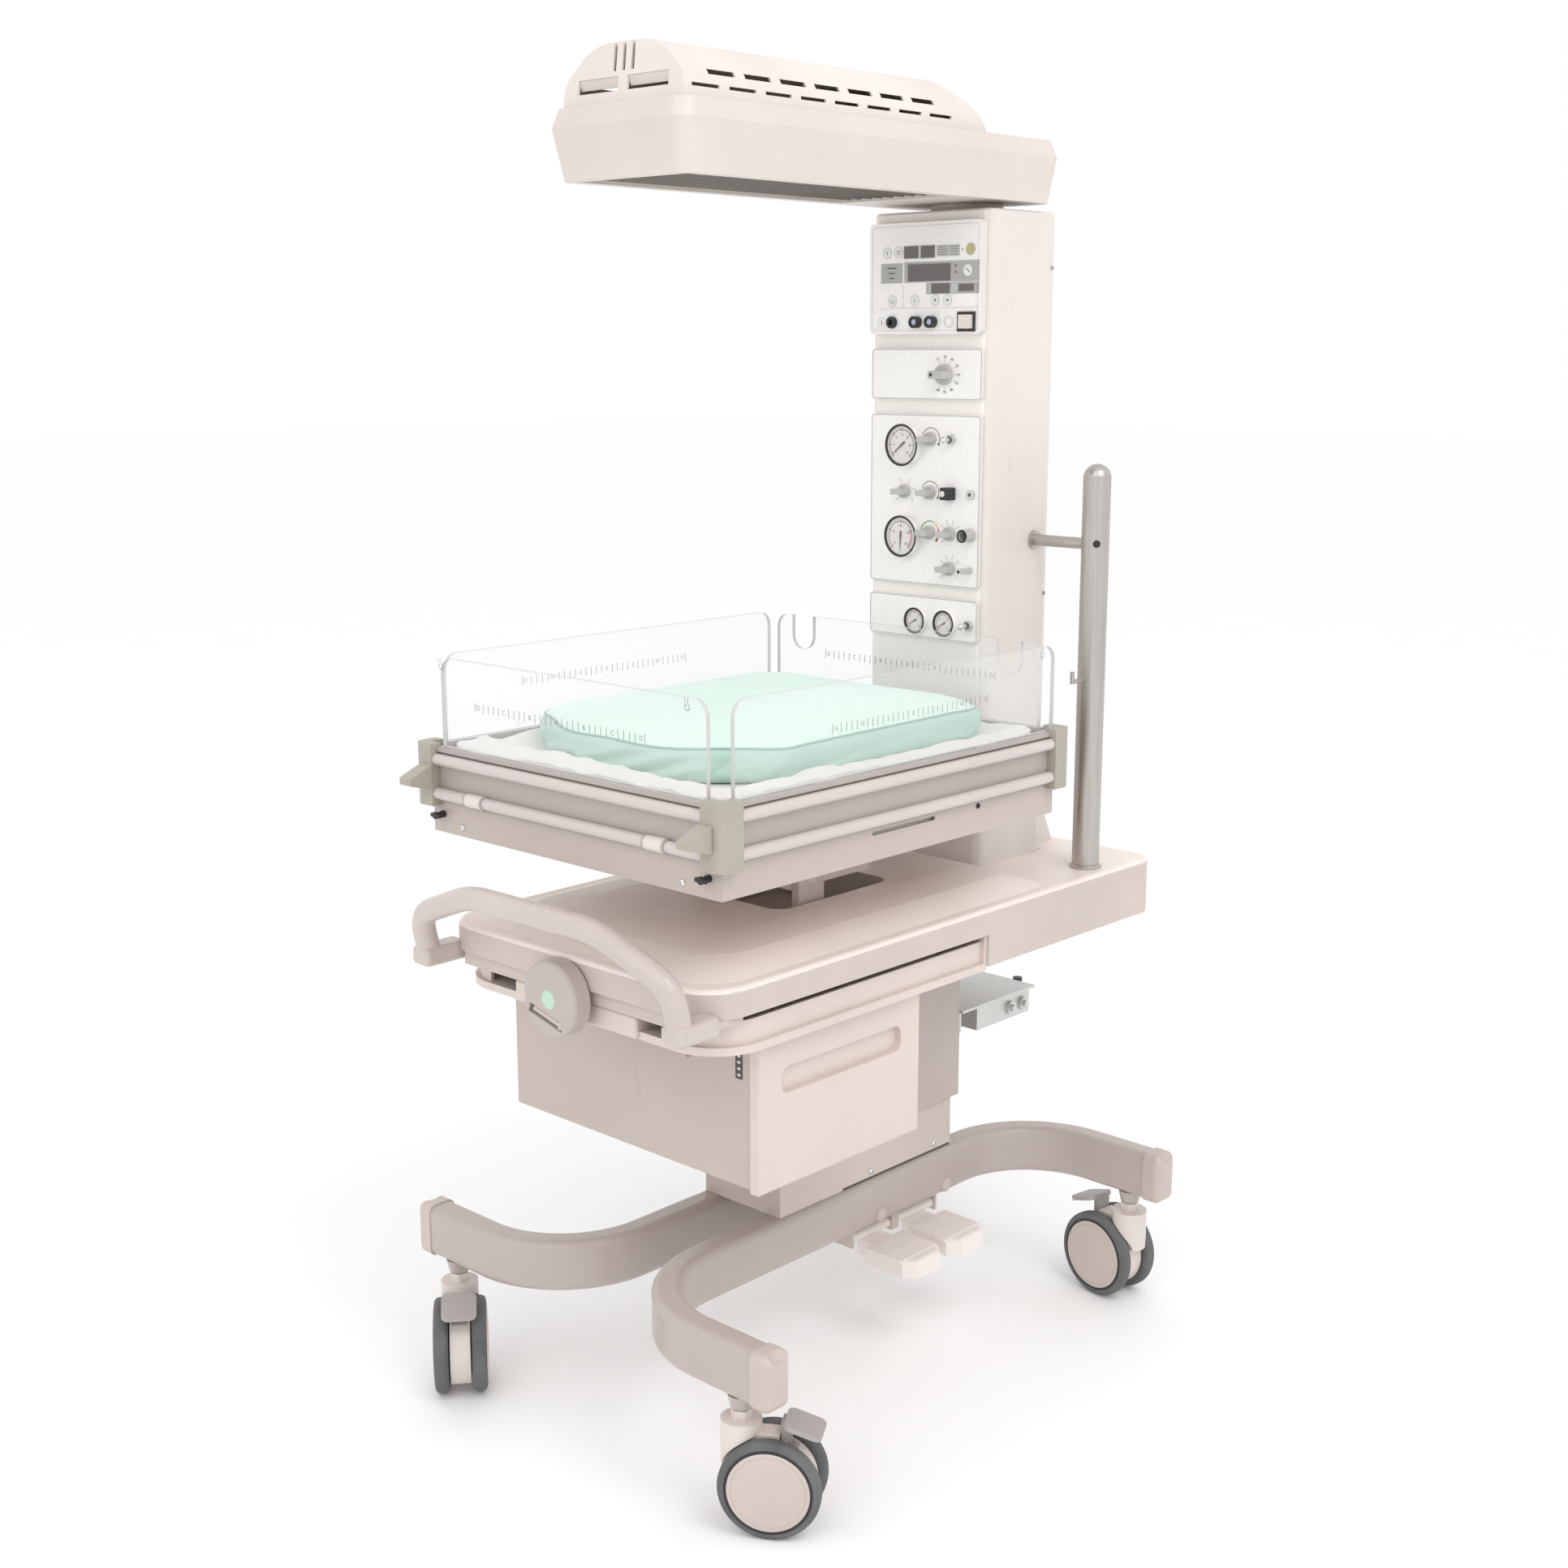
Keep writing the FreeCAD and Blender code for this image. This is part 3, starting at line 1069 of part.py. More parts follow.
def select_edge(x0, x1, y0, y1, z0, z1):
    return near(y0, select_back - d.select_depth)


node("breath_selector", fuse("breath_selector", rounded("select_soft", select_block, 1.5, select_edge),
                             cylinder("select_shaft", "y", d.shaft_radius, select_back - 1, d.tower_front - 1,
                                      d.col_c, d.row_breath)))


def socket(name, front, length, radius, bore, x, z):
    """A round fitting on the fascia, with a blind hole in its end."""
    outer = cylinder(name + "_outer", "y", radius, front - length, front, x, z)
    hole = cylinder(name + "_hole", "y", bore, front - length - 1, front - length / 4, x, z)
    return cut(name, outer, hole)


def toggle_collar(name, x, z):
    outer = hexagon(name + "_hex", "y", d.toggle_nut, plate_y - d.toggle_hex, plate_y, x, z)
    return cut(name, outer, cylinder(name + "_hole", "y", d.toggle_nut - 2.6, plate_y - d.toggle_hex - 1,
                                     plate_y + 1, x, z))


frame_x = well_x + d.rocker_frame
frame_z = well_z + d.rocker_frame
rocker_frame = cut(
    "rocker_frame",
    box("rocker_frame_outer", d.rocker_x - frame_x, d.rocker_x + frame_x, module_y - 2, module_y,
        d.row_module - frame_z, d.row_module + frame_z),
    box("rocker_frame_window", d.rocker_x - well_x, d.rocker_x + well_x, module_y - 3, module_y + 1,
        d.row_module - well_z, d.row_module + well_z),
)
node("panel_sockets", group(
    "panel_sockets",
    socket("jack", module_y, d.socket_depth, d.socket_radius, d.socket_radius / 2, d.jack_x, d.row_module),
    socket("probe_left", module_y, d.socket_depth * 2, d.socket_radius, d.socket_radius * 0.6, d.probe_a,
           d.row_module),
    socket("probe_right", module_y, d.socket_depth * 2, d.socket_radius, d.socket_radius * 0.6, d.probe_b,
           d.row_module),
    socket("drive_socket", plate_y, d.socket_depth, d.socket_radius * 0.8, d.socket_radius / 3, d.col_d,
           d.row_breath),
    socket("patient_outlet", plate_y, d.outlet_length, d.outlet_radius, d.outlet_radius * 0.7, d.col_d,
           d.row_airway),
    socket("aux_outlet", plate_y, d.nozzle_length, d.nozzle_radius, d.nozzle_radius / 2, d.col_d,
           d.row_outlet),
    toggle_collar("suction_collar", d.col_c, d.row_suction),
    toggle_collar("supply_collar", d.col_d, d.row_supply),
    rocker_frame,
))

# Accessory pole beside the tower, with a stay to the tower and a small hook

pole_x = d.deck_half - d.pole_inset
hook_tip = d.pole_y - d.pole_radius - d.hook_reach
node("accessory_pole", fuse(
    "accessory_pole",
    cylinder("pole_tube", "z", d.pole_radius, d.deck_top, d.pole_top, pole_x, d.pole_y),
    cut("pole_cap", sphere("pole_dome", d.pole_radius, pole_x, d.pole_y, d.pole_top - 3),
        box("pole_dome_cut", pole_x - d.pole_radius * 2, pole_x + d.pole_radius * 2,
            d.pole_y - d.pole_radius * 2, d.pole_y + d.pole_radius * 2, d.pole_top - d.pole_radius * 2,
            d.pole_top - 3)),
    cylinder("pole_stay", "x", d.arm_radius, d.tower_half, pole_x, d.pole_y, d.arm_z),
    cylinder("pole_flange", "x", d.arm_flange, d.tower_half, d.tower_half + 4, d.pole_y, d.arm_z),
    cylinder("hook_arm", "y", d.hook_radius, hook_tip, d.pole_y, pole_x, d.hook_z),
    cylinder("hook_end", "z", d.hook_radius, d.hook_z - d.hook_radius, d.hook_z + d.hook_rise, pole_x,
             hook_tip),
))

# Gas cylinder yoke on the back of the sleeve, with two index pins and a clamping screw

sleeve_back = d.column_rear + sleeve_out
yoke_mid = (d.yoke_left + d.yoke_right) / 2
slot_mid = (d.yoke_front + d.yoke_rear) / 2
slot_front = slot_mid - d.yoke_slot / 2
slot_rear = slot_mid + d.yoke_slot / 2
yoke_body = fuse(
    "yoke_body",
    box("yoke_plate", -d.yoke_right, d.yoke_right, sleeve_back, d.yoke_plate_rear, d.yoke_plate_z,
        d.yoke_plate_z + d.yoke_plate),
    box("yoke_flange", -d.yoke_right + 8, sleeve_half, sleeve_back, sleeve_back + d.yoke_plate,
        d.yoke_plate_z - d.yoke_flange, d.yoke_plate_z + 1),
    box("yoke_block", d.yoke_left, d.yoke_right, d.yoke_front, d.yoke_rear, d.yoke_bottom, d.yoke_plate_z),
)
screw_z = (d.yoke_bottom + d.yoke_plate_z) / 2
yoke_slot = box("yoke_slot", d.yoke_left + d.yoke_arm, d.yoke_right - d.yoke_arm, slot_front, slot_rear,
                d.yoke_bottom - 1, d.yoke_plate_z - 8)
screw_bore = cylinder("screw_bore", "y", d.screw_radius + d.fit_gap, slot_rear - 1, d.yoke_rear + 1, yoke_mid,
                      screw_z)
yoke_pins = [
    cylinder(f"yoke_pin_{side}", "y", d.yoke_pin / 2, slot_front - 2, slot_front + 6, yoke_mid, z)
    for side, z in (("low", screw_z - 9), ("high", screw_z + 9))
]
yoke_studs = []
for end, y in (("front", d.stud_front), ("rear", d.stud_rear)):
    collar_end = d.yoke_right + d.stud_out / 2
    yoke_studs.append(cylinder(f"stud_collar_{end}", "x", d.stud_radius, d.yoke_right - 1, collar_end, y,
                               screw_z))
    yoke_studs.append(cylinder(f"stud_tip_{end}", "x", d.stud_tip, collar_end - 1, d.yoke_right + d.stud_out,
                               y,
                               screw_z))
node("gas_yoke", fuse("gas_yoke", cut("yoke_cut", yoke_body, yoke_slot, screw_bore), *yoke_pins, *yoke_studs))
screw_end = d.yoke_rear + d.screw_length * 0.45
node("yoke_screw", fuse(
    "yoke_screw",
    cylinder("screw_rod", "y", d.screw_radius, screw_end - d.screw_length, screw_end, yoke_mid, screw_z),
    cylinder("screw_tee", "z", d.tee_radius, screw_z - d.tee_length / 2, screw_z + d.tee_length / 2, yoke_mid,
             screw_end),
))

# Heater hood: a tapered shell on a swivel pivot, a vaulted cover, the element and its guard

hood_body = loft("hood_body", [
    (d.hood_low_z, oblong(-d.hood_low_half, d.hood_low_half, d.hood_low_front, d.hood_low_rear, d.hood_corner,
                          d.hood_corner)),
    (d.hood_z, oblong(-d.hood_half, d.hood_half, d.hood_front, d.hood_rear, d.hood_corner, d.hood_corner)),
    (d.hood_lip_z, oblong(-d.hood_lip_half, d.hood_lip_half, d.hood_lip_front, d.hood_lip_rear, d.hood_corner,
                          d.hood_corner)),
], True)
cavity = box("hood_cavity", -d.cavity_half, d.cavity_half, d.cavity_front, d.cavity_rear, d.hood_low_z - 1,
             d.hood_lip_z - d.hood_wall)
room_front = d.cavity_rear + d.hood_wall
hood_room = box("hood_room", -d.cavity_half, d.cavity_half, room_front, d.hood_low_rear - d.hood_wall * 2,
                d.hood_low_z + d.hood_wall * 2, d.hood_lip_z - d.hood_wall)
pivot = fuse(
    "hood_pivot",
    cylinder("pivot_post", "z", d.pivot_radius, d.tower_top - d.pivot_depth / 2, d.hood_low_z + 2, 0,
             d.pivot_y),
    cylinder("pivot_plate", "z", d.pivot_flange, d.tower_top + d.pivot_gap, d.hood_low_z + 2, 0, d.pivot_y),
)
node("hood_shell", fuse("hood_shell", cut("hood_hollow", hood_body, cavity, hood_room), pivot))


def vault(name, inset, below):
    """The cover's barrel vault, cut to its side profile; the hollow is inset and starts below the shell."""
    half = d.cover_half - inset
    top = d.cover_top - inset
    bottom = d.hood_lip_z - below
    arch = prism(name + "_arch", "XZ_Plane", [
        (-half, bottom), (half, bottom), (half, d.cover_knee, d.cover_round), (d.cover_flat, top,
                                                                               d.cover_round * 2),
        (-d.cover_flat, top, d.cover_round * 2), (-half, d.cover_knee, d.cover_round),
    ], -d.cover_rear - 10, d.cover_rear - d.cover_front + 20)
    side = prism(name + "_side", "YZ_Plane", [
        (d.cover_front + inset, bottom), (d.cover_rear - inset, bottom),
        (d.cover_rear - inset, d.cover_spring, d.cover_round / 3),
        (d.cover_rear - inset - d.cover_slope, top + 4, d.cover_round),
        (d.cover_front + d.cover_lean + inset, top + 4),
    ], -d.hood_half, d.hood_half * 2)
    both = doc.addObject("Part::Common", name)
    both.Base = arch
    both.Tool = side
    return both


def vent_row(name, count, z, height, start):
    out = d.hood_half
    return [
        box(f"{name}_{i}", -out, out, start + d.vent_pitch * i, start + d.vent_pitch * i + d.vent_length,
            z - height / 2, z + height / 2)
        for i in range(count)
    ]


vents = vent_row("vent_high", int(d.vent_count.value), d.vent_high_z, d.vent_height, d.vent_start)
vents += vent_row("vent_low", int(d.vent_count.value) + 1, d.vent_low_z, d.vent_low_height,
                  d.vent_start - d.vent_pitch / 2)
for i in (-1, 0, 1):
    x = d.top_slot_pitch * i
    vents.append(box(f"top_slot{i + 1}", x - d.top_slot / 2, x + d.top_slot / 2, d.cover_front - 1,
                     d.cover_front + d.top_slot_length, d.louvre_high + d.vent_height, d.cover_top + 1))
for side in (-1, 1):
    x = d.louvre_offset * side
    vents.append(box(f"louvre{side + 1}", x - d.louvre_half, x + d.louvre_half, d.cover_front - 1,
                     d.cover_front + d.cover_lean + d.cover_wall + 2, d.louvre_low, d.louvre_high))
node("hood_cover", cut("hood_cover", cut("cover_shell", vault("cover_outer", size(0), 0),
                                         vault("cover_inner", d.cover_wall, 1)), *vents))

wires = []
long_count = int(d.wire_long.value)
for i in range(long_count):
    x = -d.cavity_half + d.cavity_half * 2 * ((i + 1) / (long_count + 1))
    wires.append(cylinder(f"wire_long{i}", "y", d.wire_radius, d.cavity_front, d.cavity_rear, x, d.grille_z))
cross_count = int(d.wire_cross.value)
for i in range(cross_count):
    y = d.cavity_front + (d.cavity_rear - d.cavity_front) * ((i + 1) / (cross_count + 1))
    wires.append(cylinder(f"wire_cross{i}", "x", d.wire_radius, -d.cavity_half, d.cavity_half, y,
                          d.grille_z + d.wire_radius * 1.6))
node("heater_grille", fuse("heater_grille", *wires))

element_front = d.cavity_front + d.element_clip * 2
element_rear = d.cavity_rear - d.element_clip * 2
ceiling = d.hood_lip_z - d.hood_wall
clips = [
    box(f"element_clip_{mark}", -d.element_clip, d.element_clip, y, y + d.clip_thick, d.element_z, ceiling)
    for mark, y in (("front", element_front + 4), ("rear", element_rear - d.clip_thick - 4))
]
node("heater_element", fuse("heater_element", cylinder("element_rod", "y", d.element_radius, element_front,
                                                       element_rear, 0, d.element_z), *clips))

# Bassinet: a tray on a pedestal that tilts between the deck's ears

pin_end = ear_inner + d.ear_thick
node("tilt_pedestal", fuse(
    "tilt_pedestal",
    box("pedestal_block", -d.pedestal_half, d.pedestal_half, d.pedestal_front, d.pedestal_rear,
        d.pedestal_low,
        d.tray_bottom),
    cylinder("pedestal_pin", "x", d.pin_radius, -pin_end, pin_end, d.tilt_y, tilt_height),
))
tray_slot = box("tray_slot", d.tray_half - d.tray_wall - 1, d.tray_half + 1, d.slot_front, d.slot_rear,
                d.slot_low,
                d.slot_high)
node("bassinet_tray", cut("bassinet_tray", shell("tray_shell", -d.tray_half, d.tray_half, d.tray_front,
                                                 d.tray_rear,
                                                 d.tray_bottom, d.tray_top, d.tray_wall, False, True),
                                                 tray_slot))

rail_x = d.tray_half - d.post_reach - d.fit_gap
rail_front = d.tray_front + d.post_reach + d.fit_gap
rail_rear = d.tray_rear - d.post_reach - d.fit_gap
lip_half = d.panel_thick + d.fit_gap * 2


def end_rail(name, face, out):
    """A rail along X on the tray face at Y face; out is -1 at the front and 1 at the rear."""
    def band(near_side, far_side):
        a, b = face + near_side * out, face + far_side * out
        return (a, b) if a.value < b.value else (b, a)

    return fuse(
        name, box(name + "_web", -rail_x, rail_x, *band(size(0), d.rail_web), d.rail_low, d.rail_high),
        box(name + "_lip", -rail_x, rail_x, *band(-lip_half, d.bead_out), d.tray_top, d.rail_high),
        cylinder(name + "_bead_low", "x", d.bead_radius, -rail_x, rail_x, face + d.bead_out * out,
                 d.bead_low_z),
        cylinder(name + "_bead_high", "x", d.bead_radius, -rail_x, rail_x, face + d.bead_out * out,
                 d.bead_high_z),
    )


side_rail = fuse(
    "rail_right", box("rail_right_web", d.tray_half, d.tray_half + d.rail_web, rail_front, rail_rear,
                      d.rail_low,
                      d.rail_high),
    box("rail_right_lip", d.tray_half - lip_half, d.tray_half + d.bead_out, rail_front, rail_rear, d.tray_top,
        d.rail_high),
    cylinder("rail_right_bead_low", "y", d.bead_radius, rail_front, rail_rear, d.tray_half + d.bead_out,
             d.bead_low_z),
    cylinder("rail_right_bead_high", "y", d.bead_radius, rail_front, rail_rear, d.tray_half + d.bead_out,
             d.bead_high_z),
)
node("side_rails", group("side_rails", end_rail("rail_front", d.tray_front, -1), end_rail("rail_rear",
                                                                                          d.tray_rear, 1),
                         side_rail, mirror("rail_left", side_rail)))

post_inner = d.tray_half - d.post_reach
post_outer = d.tray_half + d.post_out
post_face = d.tray_front - d.post_out
post_back = d.tray_rear + d.post_out
tray_block = box("tray_block", -d.tray_half, d.tray_half, d.tray_front, d.tray_rear, d.tray_bottom,
                 d.tray_top)


def corner_post(name, y0, y1, outer_y):
    block = box(name + "_block", post_inner, post_outer, y0, y1, d.post_low, d.post_high)

    def corner(x0, x1, a0, a1, z0, z1):
        return upright(x0, x1, a0, a1, z0, z1) and near(x0, post_outer) and near(a0, outer_y)

    lid = box(name + "_lid", post_inner - 1, d.tray_half, d.tray_front, d.tray_rear, d.tray_top - 1,
              d.post_high + 1)
    return cut(name, rounded(name + "_soft", block, d.post_round, corner), tray_block, lid)


front_post = corner_post("post_front", post_face, d.tray_front + d.post_reach, post_face)
rear_post = corner_post("post_rear", d.tray_rear - d.post_reach, post_back, post_back)
node("corner_posts", group("corner_posts", front_post, rear_post, mirror("post_front_left", front_post),
                           mirror("post_rear_left", rear_post)))

# Clear side panels: three fold down on hinge lugs, the rear one lifts out


def end_panel(name, y0):
    return prism(name, "XZ_Plane", [
        (-d.end_panel_half, d.panel_low), (d.end_panel_half, d.panel_low),
        (d.end_panel_half, d.panel_top, d.panel_round), (-d.end_panel_half, d.panel_top, d.panel_round),
    ], -y0 - d.panel_thick, d.panel_thick)


hinge_y = d.tray_front - d.hinge_out
hinge_x = d.tray_half + d.hinge_out
front_lugs = []
side_lugs = []
side_mid = (rail_front + rail_rear) / 2
for mark, spot in (("a", -d.hinge_spot), ("b", d.hinge_spot)):
    x0, x1 = spot - d.hinge_length / 2, spot + d.hinge_length / 2
    front_lugs.append(cylinder(f"front_barrel_{mark}", "x", d.hinge_radius, x0, x1, hinge_y, d.hinge_z))
    front_lugs.append(box(f"front_arm_{mark}", x0, x1, hinge_y, d.tray_front + 1, d.hinge_z - 2,
                          d.hinge_z + 2))
    y0, y1 = side_mid + x0, side_mid + x1
    side_lugs.append(cylinder(f"side_barrel_{mark}", "y", d.hinge_radius, y0, y1, hinge_x, d.hinge_z))
    side_lugs.append(box(f"side_arm_{mark}", d.tray_half - 1, hinge_x, y0, y1, d.hinge_z - 2, d.hinge_z + 2))
node("panel_front", fuse("panel_front", end_panel("panel_front_sheet", d.tray_front), *front_lugs))


def cable_notch(name, x):
    low = d.notch_bottom + d.notch_half
    return [
        cylinder(name + "_round", "y", d.notch_half, d.tray_rear - d.panel_thick - 1, d.tray_rear + 1, x,
                 low),
        box(name + "_mouth", x - d.notch_half, x + d.notch_half, d.tray_rear - d.panel_thick - 1,
            d.tray_rear + 1,
            low, d.panel_top + 1),
    ]


node("panel_rear", cut("panel_rear", end_panel("panel_rear_sheet", d.tray_rear - d.panel_thick),
                       *cable_notch("notch_left", -d.notch_x), *cable_notch("notch_right", d.notch_x)))
side_sheet = prism("side_sheet", "YZ_Plane", [
    (d.side_panel_front, d.panel_low), (d.side_panel_rear, d.panel_low),
    (d.side_panel_rear, d.panel_top, d.panel_round), (d.side_panel_front, d.panel_top, d.panel_round),
], d.tray_half - d.panel_thick, d.panel_thick)
right_panel = node("panel_right", fuse("panel_right", side_sheet, *side_lugs))
node("panel_left", mirror("panel_left", right_panel))

latch_back = post_face - d.latch_gap
latch_tip = latch_back - d.latch_reach
right_latch = node("latch_right", prism("latch_right", "YZ_Plane", [
    (latch_back, d.latch_low), (latch_back, d.latch_high), (latch_tip, d.latch_low + d.latch_nose * 2, 3),
    (latch_tip, d.latch_low + d.latch_nose, 2),
], d.latch_x - d.latch_width / 2, d.latch_width))
node("latch_left", mirror("latch_left", right_latch))

# Soft goods: a pad that fills the tray and a crowned mattress with a bowed foot end


def pad_outline(inset):
    return oblong(inset - d.tray_half + d.tray_wall, d.tray_half - d.tray_wall - inset,
                  d.tray_front + d.tray_wall + inset, d.tray_rear - d.tray_wall - inset, d.pad_corner,
                  d.pad_corner)


pad_low = d.tray_bottom + d.tray_wall + d.soft_gap
node("base_pad", loft("base_pad", [
    (pad_low, pad_outline(d.pad_inset + d.pad_draw)),
    ((pad_low + d.pad_side) / 2, pad_outline(d.pad_inset)),
    (d.pad_side, pad_outline(d.pad_inset + d.pad_draw / 2)),
    (d.pad_top, pad_outline(d.pad_inset + d.pad_draw * 3)),
], False))


def mattress_outline(inset):
    half = d.mattress_half - inset
    rear = d.mattress_rear - inset
    side = d.mattress_side + inset
    front = d.mattress_front + inset
    return [
        (-half, side, d.mattress_corner), (-d.bow_half, front, d.bow_round), (d.bow_half, front, d.bow_round),
        (half, side, d.mattress_corner), (half, rear, d.mattress_corner), (-half, rear, d.mattress_corner),
    ]


mattress_low = d.pad_top + d.soft_gap
node("mattress", loft("mattress", [
    (mattress_low, mattress_outline(d.mattress_draw * 2)),
    ((mattress_low + d.mattress_side_z) / 2, mattress_outline(d.mattress_draw / 2)),
    (d.mattress_side_z, mattress_outline(size(0))),
    (d.mattress_seam, mattress_outline(d.mattress_draw / 2)),
    (d.mattress_crown - 3, mattress_outline(d.crown_step * 0.6)),
    (d.mattress_crown, mattress_outline(d.crown_step * 1.4)),
], False))

# Check every object, then write one file for each sub-part

doc.recompute()
for obj in doc.Objects:
    if "Invalid" in obj.State or "Error" in obj.State:
        raise RuntimeError(f"{obj.Name} failed: {obj.State}")
for obj in NODES:
    shape = obj.Shape
    if shape.isNull() or not shape.isValid() or not shape.Solids:
        raise RuntimeError(f"{obj.Label} has no valid solid")

os.makedirs("parts", exist_ok=True)
for obj in NODES:
    obj.Shape.exportStep(f"parts/{obj.Label}.step")
print(f"{len(NODES)} sub-parts written")
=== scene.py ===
import math

import bpy
from mathutils import Matrix, Vector, noise
from mathutils.bvhtree import BVHTree
from mathutils.kdtree import KDTree


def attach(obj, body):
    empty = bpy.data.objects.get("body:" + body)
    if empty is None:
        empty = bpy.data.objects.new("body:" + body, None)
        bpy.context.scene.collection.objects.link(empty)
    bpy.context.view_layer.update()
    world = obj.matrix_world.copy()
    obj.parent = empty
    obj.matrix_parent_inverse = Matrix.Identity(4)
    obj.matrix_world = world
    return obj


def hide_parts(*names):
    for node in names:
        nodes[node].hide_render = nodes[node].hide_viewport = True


# Looks of the infant radiant warmer, in metres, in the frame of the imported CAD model.

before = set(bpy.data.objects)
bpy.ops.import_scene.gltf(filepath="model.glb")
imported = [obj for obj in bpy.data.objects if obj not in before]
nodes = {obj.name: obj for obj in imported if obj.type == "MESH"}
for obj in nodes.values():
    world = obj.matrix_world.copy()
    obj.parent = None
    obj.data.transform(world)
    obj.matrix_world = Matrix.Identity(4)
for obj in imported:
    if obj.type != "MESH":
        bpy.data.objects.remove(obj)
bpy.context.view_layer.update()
scene = bpy.context.scene


# Camera, floor and light. The camera was fitted to corners in the photograph.

CAMERA_PLACE = (1.8022, -1.9604, 1.3653)
CAMERA_DOWN = 11.95
CAMERA_TURN = 43.085
FLOOR = ((-30, -30, 0), (30, -30, 0), (30, 30, 0), (-30, 30, 0))

lens = bpy.data.cameras.new("camera")
lens.sensor_width = 36.0
lens.lens = 46.71
camera = bpy.data.objects.new("camera", lens)
camera.location = CAMERA_PLACE
camera.rotation_euler = (math.radians(90 - CAMERA_DOWN), 0, math.radians(CAMERA_TURN))
scene.collection.objects.link(camera)
scene.camera = camera
scene.view_settings.view_transform = "Standard"


def mesh_object(name, verts, faces, smooth=False):
    mesh = bpy.data.meshes.new(name)
    mesh.from_pydata(verts, [], faces)
    mesh.update()
    for polygon in mesh.polygons:
        polygon.use_smooth = smooth
    made = bpy.data.objects.new(name, mesh)
    scene.collection.objects.link(made)
    return made


floor = mesh_object("floor", FLOOR, [(0, 1, 2, 3)])


def area_light(name, place, aim, size, power):
    data = bpy.data.lights.new(name, "AREA")
    data.shape = "SQUARE"
    data.size = size
    data.energy = power
    made = bpy.data.objects.new(name, data)
    made.location = place
    made.rotation_euler = (Vector(aim) - Vector(place)).to_track_quat("-Z", "Y").to_euler()
    scene.collection.objects.link(made)


area_light("key", (2.7, -0.5, 3.6), (0, 0, 0.9), 1.8, 33)
area_light("fill", (-0.8, -3.4, 2.0), (0, 0, 0.8), 2.4, 6)
area_light("top", (1.1, -3.0, 3.3), (0, 0, 0.7), 2.0, 16)

world = bpy.data.worlds.new("studio")
world.use_nodes = True
background = world.node_tree.nodes["Background"].inputs
background["Color"].default_value = (1.0, 1.0, 1.0, 1)
background["Strength"].default_value = 1.0
scene.world = world


# Materials

class Look:
    """A material made of nodes on one Principled shader. Textures use object coordinates, in metres."""

    def __init__(self, name, **sockets):
        self.material = bpy.data.materials.new(name)
        self.material.use_nodes = True
        self.tree = self.material.node_tree
        self.shader = self.tree.nodes["Principled BSDF"]
        for socket, value in sockets.items():
            self.shader.inputs[socket.replace("_", " ")].default_value = value
        self.place = self.add("TexCoord").outputs["Object"]
        self.normal = None

    def add(self, kind, **settings):
        made = self.tree.nodes.new("ShaderNode" + kind)
        for key, value in settings.items():
            setattr(made, key, value)
        return made

    def link(self, source, target):
        self.tree.links.new(source, target)

    def mapped(self, stretch):
        mapping = self.add("Mapping")
        mapping.inputs["Scale"].default_value = stretch
        self.link(self.place, mapping.inputs["Vector"])
        return mapping.outputs["Vector"]

    def noise(self, scale, detail=3.0, stretch=(1, 1, 1)):
        made = self.add("TexNoise")
        made.inputs["Scale"].default_value = scale
        made.inputs["Detail"].default_value = detail
        self.link(self.mapped(stretch), made.inputs["Vector"])
        return made.outputs["Fac"]

    def wave(self, scale, direction, distortion=0.0):
        made = self.add("TexWave", bands_direction=direction)
        made.inputs["Scale"].default_value = scale
        made.inputs["Distortion"].default_value = distortion
        self.link(self.place, made.inputs["Vector"])
        return made.outputs["Fac"]

    def math(self, operation, a, b):
        made = self.add("Math", operation=operation)
        for socket, value in zip(made.inputs, (a, b)):
            if isinstance(value, (int, float)):
                socket.default_value = value
            else:
                self.link(value, socket)
        return made.outputs[0]

    def ramp(self, source, *stops):
        made = self.add("ValToRGB")
        elements = made.color_ramp.elements
        while len(elements) < len(stops):
            elements.new(0.5)
        for element, (position, colour) in zip(elements, stops):
            element.position = position
            element.color = (*colour, 1)
        self.link(source, made.inputs["Fac"])
        return made.outputs["Color"]

    def colour(self, source):
        self.link(source, self.shader.inputs["Base Color"])

    def rough(self, source, low, high):
        made = self.add("MapRange")
        made.inputs["To Min"].default_value = low
        made.inputs["To Max"].default_value = high
        self.link(source, made.inputs["Value"])
        self.link(made.outputs["Result"], self.shader.inputs["Roughness"])

    def bump(self, source, depth, strength=0.5):
        made = self.add("Bump")
        made.inputs["Distance"].default_value = depth
        made.inputs["Strength"].default_value = strength
        self.link(source, made.inputs["Height"])
        if self.normal is not None:
            self.link(self.normal, made.inputs["Normal"])
        self.normal = made.outputs["Normal"]
        self.link(self.normal, self.shader.inputs["Normal"])


def shade(colour, factor):
    return tuple(min(1.0, c * factor) for c in colour)


def moulded(name, colour, rough=0.42, grain=0.00012, drift=0.05, **sockets):
    """Moulded plastic: fine spark-eroded grain, cloudy colour and gloss."""
    look = Look(name, **sockets)
    cloud = look.noise(5.0, 4.0)
    look.colour(look.ramp(cloud, (0.30, shade(colour, 1 - drift)), (0.70, shade(colour, 1 + drift))))
    look.rough(look.noise(60.0, 2.0), rough - 0.07, rough + 0.08)
    look.bump(look.noise(1100.0, 2.0), grain, 0.35)
    return look.material


